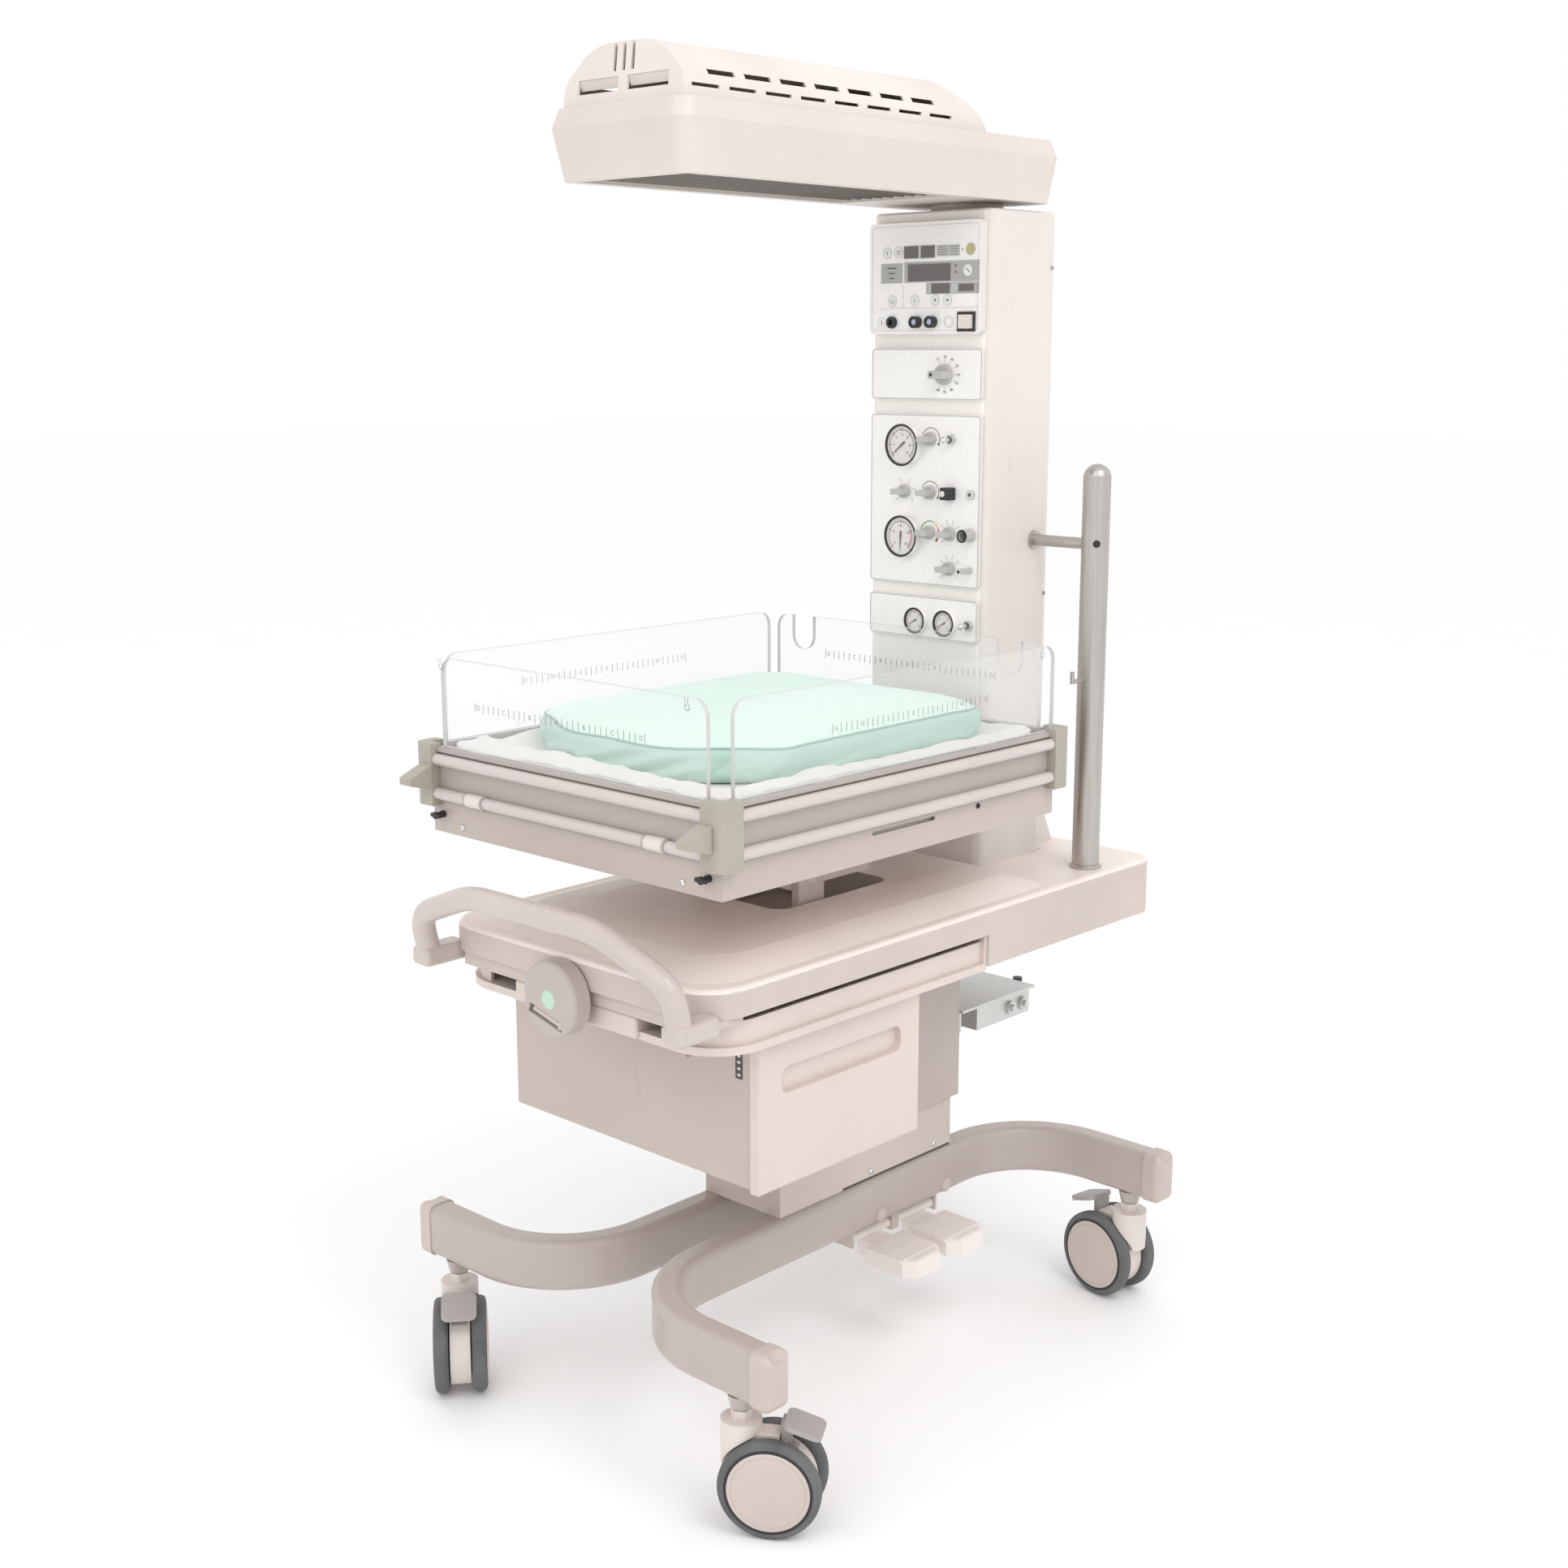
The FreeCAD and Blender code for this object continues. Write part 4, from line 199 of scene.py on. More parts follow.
def painted(name, colour, rough=0.34, drift=0.045):
    """Stove enamel on sheet metal: orange peel and faint scuffs."""
    look = Look(name)
    look.shader.inputs["Coat Weight"].default_value = 0.15
    cloud = look.noise(3.5, 5.0)
    scuff = look.noise(38.0, 6.0, (1, 1, 0.25))
    base = look.ramp(cloud, (0.30, shade(colour, 1 - drift)), (0.70, shade(colour, 1 + drift)))
    worn = look.ramp(scuff, (0.66, (1, 1, 1)), (0.74, (0.93, 0.925, 0.92)))
    mixed = look.add("Mix", data_type="RGBA", blend_type="MULTIPLY")
    mixed.inputs["Factor"].default_value = 0.8
    look.link(base, mixed.inputs["A"])
    look.link(worn, mixed.inputs["B"])
    look.colour(mixed.outputs["Result"])
    look.rough(scuff, rough - 0.06, rough + 0.12)
    look.bump(look.noise(420.0, 2.0), 0.00015, 0.3)
    return look.material


def metal(name, colour, rough, stretch, **sockets):
    """Metal with a drawn or brushed grain along the stretched axis."""
    look = Look(name, Metallic=1.0, **sockets)
    line = look.noise(260.0, 3.0, stretch)
    look.colour(look.ramp(line, (0.25, shade(colour, 0.88)), (0.75, shade(colour, 1.08))))
    look.rough(line, rough - 0.08, rough + 0.12)
    look.bump(line, 0.00008, 0.3)
    return look.material


def rubber(name, colour):
    """Tyre rubber with grime in it."""
    look = Look(name)
    grime = look.noise(24.0, 5.0)
    look.colour(look.ramp(grime, (0.35, shade(colour, 0.85)), (0.72, shade(colour, 1.35))))
    look.rough(grime, 0.55, 0.8)
    look.bump(look.noise(700.0, 3.0), 0.0002, 0.4)
    return look.material


def acrylic(name, colour):
    """Clear cast sheet with hairline scratches. Alpha lets the light through without a dark shadow."""
    look = Look(name, Alpha=0.10, IOR=1.49)
    scratch = look.noise(90.0, 6.0, (1, 1, 0.08))
    look.colour(look.ramp(scratch, (0.2, shade(colour, 0.985)), (0.8, colour)))
    look.rough(scratch, 0.0, 0.05)
    look.bump(look.noise(6.0, 2.0), 0.0002, 0.12)
    return look.material


def printed(name, colour):
    """Printed film or ink: almost even, with a faint mottle."""
    look = Look(name)
    mottle = look.noise(140.0, 3.0)
    look.colour(look.ramp(mottle, (0.3, shade(colour, 0.98)), (0.7, shade(colour, 1.02))))
    look.rough(mottle, 0.44, 0.56)
    return look.material


CREAM = (0.68, 0.59, 0.54)
looks = {
    "floor": moulded("floor_white", (0.985, 0.985, 0.985), rough=0.8, grain=0.0, drift=0.004),
    "cream": moulded("cream_moulding", CREAM),
    # The deck's moulding comes in two copies: a darker one for its flanks, which is painted shade, and a
    # lighter one for its top, which is painted light.
    "deck": moulded("deck_painted_shade_moulding", (0.58, 0.505, 0.46)),
    "deck_top": moulded("deck_top_moulding", (0.87, 0.775, 0.72)),
    # The hood's cover is a lighter copy of the hood's moulding: painted light on the hood's top.
    "cover_painted_light": moulded("hood_cover_painted_light_moulding", (0.74, 0.67, 0.625), rough=0.38),
    "foot": painted("foot_column_enamel", (0.60, 0.52, 0.48)),
    "hood": moulded("hood_moulding", (0.67, 0.605, 0.56), rough=0.38),
    "tower": painted("tower_enamel", (0.71, 0.66, 0.625)),
    # A lighter copy of the tower's enamel, used as painted light on its front faces.
    "tower_front": painted("tower_front_enamel", (0.85, 0.80, 0.77)),
    "sheet": painted("column_enamel", (0.51, 0.44, 0.40)),
    "leg": painted("leg_enamel", (0.47, 0.405, 0.378), rough=0.3),
    "handle": moulded("handle_moulding", (0.57, 0.495, 0.46), rough=0.3, Coat_Weight=0.2),
    "cap": moulded("leg_cap_moulding", (0.55, 0.475, 0.435), rough=0.4),
    "disc": moulded("wheel_disc_moulding", (0.58, 0.505, 0.465), rough=0.45),
    "post": moulded("post_moulding", (0.40, 0.375, 0.31), rough=0.45),
    "wheel_grey": moulded("hand_wheel_moulding", (0.49, 0.43, 0.405), rough=0.42),
    "white": moulded("white_moulding", (0.72, 0.65, 0.61), rough=0.35),
    "knob": moulded("knob_moulding", (0.47, 0.455, 0.44), rough=0.4),
    # The foot pedals are lighter than the other cream mouldings: painted light against the legs' shadow over
    # them.
    "pedal_painted_light": moulded("foot_pedal_painted_light_moulding", (0.86, 0.79, 0.765), rough=0.5),
    "brake": moulded("brake_moulding", (0.40, 0.37, 0.365), rough=0.45),
    "black": moulded("black_moulding", (0.018, 0.018, 0.02), rough=0.42),
    # Dark plastic for the runner's end, and also the painted shade of the strip along the column's foot.
    "dark": moulded("dark_plastic_and_painted_shade", (0.08, 0.075, 0.072), rough=0.7),
    "tyre": rubber("tyre_rubber", (0.115, 0.115, 0.118)),
    "fascia": printed("fascia_film", (0.87, 0.84, 0.83)),
    "rail": painted("rail_satin", (0.43, 0.38, 0.36), rough=0.42),
    # The beads take a lighter copy of the rails' paint: a painted highlight along them.
    "bead_painted_highlight": painted("rail_bead", (0.60, 0.545, 0.52), rough=0.32),
    "steel": metal("brushed_steel", (0.52, 0.495, 0.47), 0.36, (1, 1, 0.03)),
    "chrome": metal("plated_steel", (0.75, 0.75, 0.75), 0.16, (1, 1, 1)),
    "alloy": metal("cast_alloy", (0.66, 0.655, 0.64), 0.42, (1, 1, 1)),
    "wire": metal("grille_wire", (0.24, 0.22, 0.20), 0.40, (1, 1, 1)),
    "ceramic": moulded("heater_ceramic", (0.30, 0.27, 0.24), rough=0.6),
    "probe": moulded("probe_plug_moulding", (0.50, 0.52, 0.70), rough=0.4),
    "mint_dot": moulded("mint_moulding", (0.50, 0.68, 0.56), rough=0.4),
    "clear": acrylic("clear_acrylic", (0.90, 0.91, 0.91)),
    "clear_edge": moulded("acrylic_edge", (0.60, 0.595, 0.59), rough=0.3, grain=0.0),
}
floor.data.materials.append(looks["floor"])


def paint(node, *names):
    """Give a CAD node its looks, the first one all over."""
    slots = nodes[node].data.materials
    slots.clear()
    for name in names:
        slots.append(looks[name])
    for polygon in nodes[node].data.polygons:
        polygon.material_index = 0


def repaint(node, index, chosen):
    """Use the node's look number index on the faces that chosen(centre, normal) picks."""
    for polygon in nodes[node].data.polygons:
        if chosen(polygon.center, polygon.normal):
            polygon.material_index = index


# Nodes with one look, by their name or by the start of it
PAINT = {
    "legs": "leg", "leg_end_caps": "cap", "lower_column": "foot", "upper_column": "sheet",
    "under_shelf": "cream", "push_handle": "handle", "tilt_gearbox": "cream", "accessory_pole": "steel",
    "gas_yoke": "alloy", "hood_shell": "hood", "hood_cover": "cover_painted_light", "heater_grille": "wire",
    "heater_element": "ceramic", "drawer_box": "sheet", "drawer_front": "cream", "tilt_pedestal": "cream",
    "bassinet_tray": "sheet", "corner_posts": "post", "base_pad": "white", "mattress": "white",
    "foot_pedal_raise": "pedal_painted_light", "foot_pedal_lower": "pedal_painted_light", "tilt_wheel": "wheel_grey",
    "crank_grip": "handle", "suction_toggle": "chrome", "supply_toggle": "chrome", "power_rocker": "white",
    "breath_selector": "black", "yoke_screw": "black", "latch_left": "post", "latch_right": "post",
    "knob_": "knob", "caster_fork_": "white", "caster_wheels_": "tyre", "brake_pedal_": "brake",
}
for node in nodes:
    for start, look in PAINT.items():
        if node.startswith(start):
            paint(node, look)

# Nodes with more than one look. The gauges are given as (x, z, radius of the dial).
GAUGES = {
    "suction_dial": (-0.031, 1.241, 0.0258), "airway_dial": (-0.031, 1.115, 0.0258),
    "supply_dial_a": (-0.008, 0.998, 0.0153), "supply_dial_b": (0.044, 0.998, 0.0153),
}
GAUGE_RIM = 0.002
DRIVE_SOCKET = (0.083, 1.177)
DRIVE_BORE = 0.0030
TRAY_HALF = 0.259
TRAY_FRONT = -0.411
TRAY_REAR = 0.211
RAIL_TOP = 0.8735


def case_wall(centre, normal):
    """The outer wall of a gauge case, past the rim of its dial."""
    return normal.y > -0.5 and all(math.hypot(centre.x - x, centre.z - z) > radius + GAUGE_RIM
                                   for x, z, radius in GAUGES.values())


def metal_fitting(centre, normal):
    """The outlets and collars of bare metal, and the ring round the bore of the drive socket."""
    away = math.hypot(centre.x - DRIVE_SOCKET[0], centre.z - DRIVE_SOCKET[1])
    return centre.z < 1.09 or 1.24 < centre.z < 1.26 or DRIVE_BORE < away < 0.015


def rail_bead(centre, normal):
    """The round beads, which stand out from the flat of the rails and take a painted highlight."""
    out = max(abs(centre.x) - TRAY_HALF, TRAY_FRONT - centre.y, centre.y - TRAY_REAR)
    return out > 0.0035 and centre.z < RAIL_TOP


# The deck's upward faces take the lighter copy of its moulding, as painted light. The rest keep the darker
# copy, as painted shade.
paint("deck", "deck", "deck_top")
repaint("deck", 1, lambda centre, normal: normal.z > 0.3)
paint("fascia_panels", "fascia", "tower")
repaint("fascia_panels", 1, lambda centre, normal: normal.y > -0.5)
# The tower's front faces take the lighter copy of its enamel: painted light where the bassinet and the hood
# shade them.
paint("column_housing", "tower", "tower_front")
repaint("column_housing", 1, lambda centre, normal: normal.y < -0.9)
paint("gauge_cases", "black", "fascia")
repaint("gauge_cases", 1, case_wall)
paint("panel_sockets", "black", "knob", "alloy")
repaint("panel_sockets", 1, lambda centre, normal: 1.11 < centre.z < 1.19 and normal.y > -0.5)
repaint("panel_sockets", 2, metal_fitting)
# The beads take the lighter copy, as a painted highlight.
paint("side_rails", "rail", "bead_painted_highlight")
repaint("side_rails", 1, rail_bead)
for node, axis, middle in (("panel_front", 1, -0.408), ("panel_rear", 1, 0.208), ("panel_left", 0, -0.256),
                           ("panel_right", 0, 0.256)):
    paint(node, "clear", "clear_edge")
    repaint(node, 1, lambda centre, normal: abs(normal[axis]) < 0.9 and abs(centre[axis] - middle) < 0.0032)


# Printed work: flat shapes on a plane, gathered into one mesh for each panel

def around(centre, radius, angle):
    """The point at a radius and an angle from a centre."""
    return centre[0] + radius * math.cos(angle), centre[1] + radius * math.sin(angle)


class Print:
    """Ink and film on a plane: u runs along right and v along up from the origin."""

    def __init__(self, name, origin, right, up):
        self.name = name
        self.origin = Vector(origin)
        self.right = Vector(right)
        self.up = Vector(up)
        self.out = self.right.cross(self.up)
        self.verts = []
        self.faces = []
        self.inks = []
        self.used = []

    def point(self, u, v, lift):
        return self.origin + self.right * u + self.up * v + self.out * lift

    def shape(self, points, ink, lift=0.0):
        if ink not in self.used:
            self.used.append(ink)
        first = len(self.verts)
        self.verts += [self.point(u, v, lift) for u, v in points]
        self.faces.append(tuple(range(first, first + len(points))))
        self.inks.append(self.used.index(ink))

    def rect(self, u0, u1, v0, v1, ink, lift=0.0):
        self.shape([(u1, v1), (u0, v1), (u0, v0), (u1, v0)], ink, lift)

    def border(self, u0, u1, v0, v1, width, corner, ink):
        """A thin rounded outline of the given width."""
        outer = []
        for u, v, start in ((u1, v1, 0), (u0, v1, 90), (u0, v0, 180), (u1, v0, 270)):
            cu = u - math.copysign(corner, u - (u0 + u1) / 2)
            cv = v - math.copysign(corner, v - (v0 + v1) / 2)
            outer += [(cu, cv, math.radians(start + 15 * k)) for k in range(7)]
        for (u, v, a), (p, q, b) in zip(outer, outer[1:] + outer[:1]):
            ring = [(u, v, a, corner), (p, q, b, corner), (p, q, b, corner - width),
                    (u, v, a, corner - width)]
            self.shape([around((s, w), r, t) for s, w, t, r in ring], ink)

    def disc(self, u, v, radius, ink, lift=0.0, sides=32):
        turns = [2 * math.pi * k / sides for k in range(sides)]
        self.shape([around((u, v), radius, t) for t in turns], ink, lift)

    def arc(self, u, v, inner, outer, start, end, ink, lift=0.0):
        """Part of a ring; degrees clockwise from twelve o'clock."""
        steps = max(2, int(abs(end - start) / 8))
        turns = [math.radians(90 - start - (end - start) * k / steps) for k in range(steps + 1)]
        for a, b in zip(turns, turns[1:]):
            ring = ((inner, b), (outer, b), (outer, a), (inner, a))
            self.shape([around((u, v), r, t) for r, t in ring], ink, lift)

    def stroke(self, u0, v0, u1, v1, width, ink, lift=0.0, end_width=None):
        along = Vector((u1 - u0, v1 - v0)).normalized()
        side = Vector((along.y, -along.x))
        far = width if end_width is None else end_width
        points = []
        for u, v, half in ((u0, v0, -width / 2), (u1, v1, -far / 2), (u1, v1, far / 2), (u0, v0, width / 2)):
            points.append((u - side.x * half, v - side.y * half))
        self.shape(list(reversed(points)), ink, lift)

    def text(self, words, u, v, height, ink):
        """Plain figures centred on a point."""
        curve = bpy.data.curves.new("figures", "FONT")
        curve.body = words
        curve.size = height
        curve.align_x = "CENTER"
        curve.align_y = "CENTER"
        curve.resolution_u = 2
        carrier = bpy.data.objects.new("figures", curve)
        scene.collection.objects.link(carrier)
        graph = bpy.context.evaluated_depsgraph_get()
        mesh = bpy.data.meshes.new_from_object(carrier.evaluated_get(graph))
        for polygon in mesh.polygons:
            corners = [mesh.vertices[i].co for i in polygon.vertices]
            self.shape([(u + c.x, v + c.y) for c in corners], ink)
        bpy.data.objects.remove(carrier)
        bpy.data.meshes.remove(mesh)

    def finish(self, body, slot):
        made = mesh_object(self.name, self.verts, self.faces)
        for ink in self.used:
            made.data.materials.append(looks[ink])
        for polygon, index in zip(made.data.polygons, self.inks):
            polygon.material_index = index
        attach(made, body)


looks.update({
    "ink": printed("black_ink", (0.03, 0.03, 0.032)),
    "ink_grey": printed("grey_ink", (0.20, 0.195, 0.19)),
    "line_grey": printed("line_grey", (0.50, 0.495, 0.485)),
    "band": printed("band_film", (0.40, 0.395, 0.385)),
    "band_pale": printed("band_pale_film", (0.50, 0.495, 0.485)),
    "key": printed("key_film", (0.76, 0.755, 0.745)),
    "display": moulded("display_glass", (0.115, 0.098, 0.095), rough=0.18, grain=0.0, drift=0.12,
                       Coat_Weight=0.4),
    "yellow": printed("lamp_yellow", (0.46, 0.42, 0.20)),
    "dial": printed("dial_white", (0.71, 0.66, 0.645)),
    "green": printed("green_print", (0.16, 0.42, 0.16)),
    "amber": printed("amber_print", (0.70, 0.50, 0.08)),
    "red": printed("red_print", (0.55, 0.07, 0.05)),
})

# Planes of the tower's plates, and the (x, z) of the keys and knobs that have print round them
FRONT = dict(right=(1, 0, 0), up=(0, 0, 1))
CLEAR = 0.0003
HAIRLINE = 0.0005
MODULE_Y = 0.245
MODULE_HALF = 0.0925
MODULE_Z = (1.3955, 1.5345)
MODULE_ROW = 1.407
BAND_LEFT = -0.0765
BAND_RIGHT = 0.0940
TOP_ROW = (1.4920, 1.5076)
FRAME = 0.0012
YELLOW_LAMP = (0.0790, 1.5010)
LARGE_KEY = (0.0755, 1.4738)
ROUND_KEY = (0.0435, MODULE_ROW)
TOP_BAR_KEY = (-0.0653, 1.4998)
TOP_RING_KEY = (-0.0456, 1.5000)
RING_KEY = (-0.0560, 1.4354)
BAR_KEY = (-0.0160, 1.4356)
DOWN_KEY = (0.0197, 1.4357)
UP_KEY = (0.0409, 1.4359)
KEY_RADIUS = 0.0076
PLATE_Y = 0.251
PLATE_HALF = 0.0962
PLATE_Z = ((1.303, 1.372), (1.049, 1.283), (0.974, 1.032))
PLATE_EDGE = 0.0008
BLEND_KNOB = (0.033, 1.337)
BLEND_FIGURES = ("21", "30", "40", "50", "60", "70", "80", "90", "100")
BLEND_START = 118
BLEND_STEP = 29.5
SUCTION_KNOB = (0.011, 1.250)
PRESSURE_KNOB = (0.011, 1.177)
AIRWAY_KNOB = (0.011, 1.122)
RATE_KNOB = (-0.034, 1.177)
UPPER_FLOW_KNOB = (0.047, 1.122)
LOWER_FLOW_KNOB = (0.047, 1.074)


def dial_angle(share, sweep):
    """The angle at a share of a scale that runs clockwise over the top, in radians."""
    return math.radians(90 + sweep / 2 - sweep * share)


def module_print():
    """Displays, bands, keys and lamp of the heater module."""
    panel = Print("module_print", (0, MODULE_Y - CLEAR, 0), **FRONT)
    panel.border(-MODULE_HALF, MODULE_HALF, *MODULE_Z, HAIRLINE, 0.005, "line_grey")

    # Top row: two displays, a list of settings, a dot and the lamp
    low, high = TOP_ROW
    for u0, u1 in ((-0.0355, -0.0105), (-0.0065, 0.0175)):
        panel.rect(u0 - FRAME, u1 + FRAME, low - FRAME, high + FRAME, "band_pale")
        panel.rect(u0, u1, low, high, "display", CLEAR)
    panel.rect(0.0210, 0.0605, 1.4930, 1.5078, "band_pale")
    for row in range(4):
        low = 1.4950 + row * 0.0033
        for u0, u1 in ((0.0235, 0.0400), (0.0440, 0.0580)):
            panel.rect(u0, u1, low, low + 0.0008, "ink_grey", CLEAR)
    panel.disc(0.0650, YELLOW_LAMP[1], 0.0012, "ink_grey")
    panel.arc(*YELLOW_LAMP, 0.0074, 0.0080, 0, 360, "line_grey", CLEAR)
    panel.disc(*YELLOW_LAMP, 0.0074, "yellow", CLEAR)

    # Middle row: a band with three lines, and the main display with its key
    panel.rect(BAND_LEFT, -0.0382, 1.4595, 1.4858, "band")
    for row, half in ((1.4795, 0.0085), (1.4727, 0.0060), (1.4660, 0.0045)):
        panel.rect(-0.0574 - half, -0.0574 + half, row - 0.0006, row + 0.0006, "ink", CLEAR)
    panel.rect(-0.0355, BAND_RIGHT, 1.4600, 1.4870, "band_pale")
    panel.rect(-0.0330, BAND_RIGHT, 1.4600, 1.4858, "band", CLEAR)
    panel.rect(-0.0282, 0.0456, 1.4612, 1.4838, "display", CLEAR * 2)
    for row in (1.4803, 1.4723):
        panel.rect(0.0523, 0.0561, row - 0.0019, row + 0.0019, "ink_grey", CLEAR * 2)
    panel.disc(*LARGE_KEY, 0.0082, "key", CLEAR * 2)
    panel.arc(*LARGE_KEY, 0.0076, 0.0082, 0, 360, "line_grey", CLEAR * 3)
    u, v = LARGE_KEY
    panel.stroke(u - 0.0035, v + 0.0030, u + 0.0035, v - 0.0030, 0.0012, "ink_grey", CLEAR * 3)

    # Third row: two small displays on one band
    panel.rect(0.0039, BAND_RIGHT, 1.4438, 1.4588, "band")
    panel.rect(0.0085, 0.0120, 1.4450, 1.4576, "band_pale", CLEAR)
    panel.rect(0.0131, 0.0444, 1.4448, 1.4577, "display", CLEAR)
    panel.rect(0.0470, 0.0585, 1.4450, 1.4576, "band_pale", CLEAR)
    panel.rect(0.0600, 0.0855, 1.4468, 1.4562, "display", CLEAR)

    # Keys with plain symbols
    for centre in (TOP_BAR_KEY, TOP_RING_KEY, RING_KEY, BAR_KEY, DOWN_KEY, UP_KEY):
        panel.disc(*centre, KEY_RADIUS, "key")
        panel.arc(*centre, KEY_RADIUS - HAIRLINE, KEY_RADIUS, 0, 360, "line_grey", CLEAR)
    for (u, v), way in ((DOWN_KEY, -1), (UP_KEY, 1)):
        half, low, tip = 0.0026 * way, v - 0.0018 * way, v + 0.0026 * way
        panel.shape([(u - half, low), (u + half, low), (u, tip)], "ink_grey", CLEAR)
    panel.arc(*RING_KEY, 0.0024, 0.0032, 40, 320, "ink_grey", CLEAR)
    for (u, v), below in ((BAR_KEY, 0.0026), (TOP_BAR_KEY, 0.0024)):
        panel.stroke(u, v - below, u, v + 0.0026, 0.0011, "ink_grey", CLEAR)
    panel.arc(*TOP_RING_KEY, 0.0022, 0.0030, 0, 360, "ink_grey", CLEAR)

    # Dividing lines, and the marks beside the sockets
    panel.stroke(-0.0367, 1.4262, -0.0367, 1.4580, HAIRLINE, "line_grey")
    panel.stroke(BAND_LEFT, 1.4258, BAND_RIGHT, 1.4258, HAIRLINE, "line_grey")
    panel.border(-0.0805, -0.0690, 1.3995, 1.4130, HAIRLINE, 0.0012, "line_grey")
    panel.stroke(-0.0748, 1.4028, -0.0748, 1.4098, 0.0014, "ink_grey")
    panel.arc(*ROUND_KEY, 0.0074, 0.0082, 0, 360, "line_grey")
    panel.arc(*ROUND_KEY, 0.0054, 0.0058, 0, 360, "line_grey")
    panel.finish("carriage", "fascia_grey")


def plate_print():
    """Borders of the plates, and the marks round their knobs."""
    plates = Print("plate_print", (0, PLATE_Y - CLEAR, 0), **FRONT)
    for low, high in PLATE_Z:
        plates.border(-PLATE_HALF, PLATE_HALF, low + PLATE_EDGE, high - PLATE_EDGE, 0.0009, 0.0055, "band")
    for k, figure in enumerate(BLEND_FIGURES):
        angle = math.radians(BLEND_START - k * BLEND_STEP)
        u, v = BLEND_KNOB[0] + 0.0245 * math.cos(angle), BLEND_KNOB[1] + 0.0235 * math.sin(angle)
        plates.text(figure, u, v, 0.0052, "ink")
        plates.stroke(*around(BLEND_KNOB, 0.0175, angle), *around(BLEND_KNOB, 0.0200, angle), 0.0006, "ink")
    for centre in (SUCTION_KNOB, PRESSURE_KNOB):
        plates.arc(*centre, 0.0150, 0.0158, -70, 120, "ink")
        plates.arc(*centre, 0.0140, 0.0168, 112, 122, "ink")
    plates.arc(*AIRWAY_KNOB, 0.0150, 0.0166, -80, 20, "green")
    plates.arc(*AIRWAY_KNOB, 0.0150, 0.0166, 20, 70, "amber")
    plates.arc(*AIRWAY_KNOB, 0.0150, 0.0172, 70, 128, "red")
    plates.disc(*around(AIRWAY_KNOB, 0.0161, math.radians(-40)), 0.0022, "red")
    for centre, count in ((RATE_KNOB, 6), (UPPER_FLOW_KNOB, 8), (LOWER_FLOW_KNOB, 8)):
        for k in range(count):
            angle = dial_angle(k / (count - 1), 260)
            plates.stroke(*around(centre, 0.0130, angle), *around(centre, 0.0152, angle), 0.0006, "ink")
            plates.text(str(k), *around(centre, 0.0180, angle), 0.0038, "ink")
    plates.finish("carriage", "fascia_grey")


module_print()
plate_print()


def gauge(name, y, figures, needle, red_arc=None):
    """A dial face with its scale, figures and needle."""
    x, z, radius = GAUGES[name]
    middle = (0, 0)
    face = Print(name, (x, y, z), **FRONT)
    face.disc(*middle, radius, "dial", sides=48)
    face.arc(*middle, radius * 0.80, radius * 0.82, -135, 135, "ink", CLEAR)
    if red_arc:
        face.arc(*middle, radius * 0.70, radius * 0.74, *red_arc, "red", CLEAR)
    marks = (len(figures) - 1) * 5
    for k in range(marks + 1):
        angle = dial_angle(k / marks, 270)
        inner, width = (0.82, 0.016) if k % 5 else (0.72, 0.03)
        face.stroke(*around(middle, radius * inner, angle), *around(middle, radius * 0.92, angle),
                    radius * width, "ink", CLEAR)
    for k, figure in enumerate(figures):
        angle = dial_angle(k / (len(figures) - 1), 270)
        face.text(figure, *around(middle, radius * 0.56, angle), radius * 0.20, "ink")
    angle = math.radians(90 - needle)
    tail, tip = around(middle, -radius * 0.28, angle), around(middle, radius * 0.80, angle)
    face.stroke(*tail, *tip, radius * 0.10, "ink", CLEAR * 3, radius * 0.02)
    face.disc(*middle, radius * 0.085, "ink_grey", CLEAR * 4)
    face.finish("carriage", "black_plastic")


GAUGE_DEPTH = 0.014
SMALL_GAUGE_DEPTH = 0.009
DIAL_RECESS = 0.002
DIAL_Y = PLATE_Y - GAUGE_DEPTH + DIAL_RECESS - CLEAR
SMALL_DIAL_Y = PLATE_Y - SMALL_GAUGE_DEPTH + DIAL_RECESS - CLEAR
gauge("suction_dial", DIAL_Y, ("0", "5", "10", "15", "20", "25", "30"), -128)
gauge("airway_dial", DIAL_Y, ("0", "20", "40", "60", "80"), 182, (60, 135))
gauge("supply_dial_a", SMALL_DIAL_Y, ("0", "4", "8", "12"), -120)
gauge("supply_dial_b", SMALL_DIAL_Y, ("0", "4", "8", "12"), -120)


# Small hardware and trim

def turned(name, profile, place, axis, look, body, sides=32):
    """A turned piece: profile of (radius, height) from the seat outwards along the axis."""
    tilt = Vector((0, 0, 1)).rotation_difference(Vector(axis)).to_matrix()
    verts = []
    faces = []
    for radius, height in profile:
        for k in range(sides):
            turn = 2 * math.pi * k / sides
            point = Vector((radius * math.cos(turn), radius * math.sin(turn), height))
            verts.append(Vector(place) + tilt @ point)
    for level in range(len(profile) - 1):
        for k in range(sides):
            j = (k + 1) % sides
            low = level * sides
            faces.append((low + k, low + j, low + sides + j, low + sides + k))
    faces.append(tuple(reversed(range(sides))))
    top = (len(profile) - 1) * sides
    faces.append(tuple(top + k for k in range(sides)))
    made = mesh_object(name, verts, faces, smooth=True)
    made.data.set_sharp_from_angle(angle=math.radians(40))
    made.data.materials.append(looks[look])
    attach(made, body)


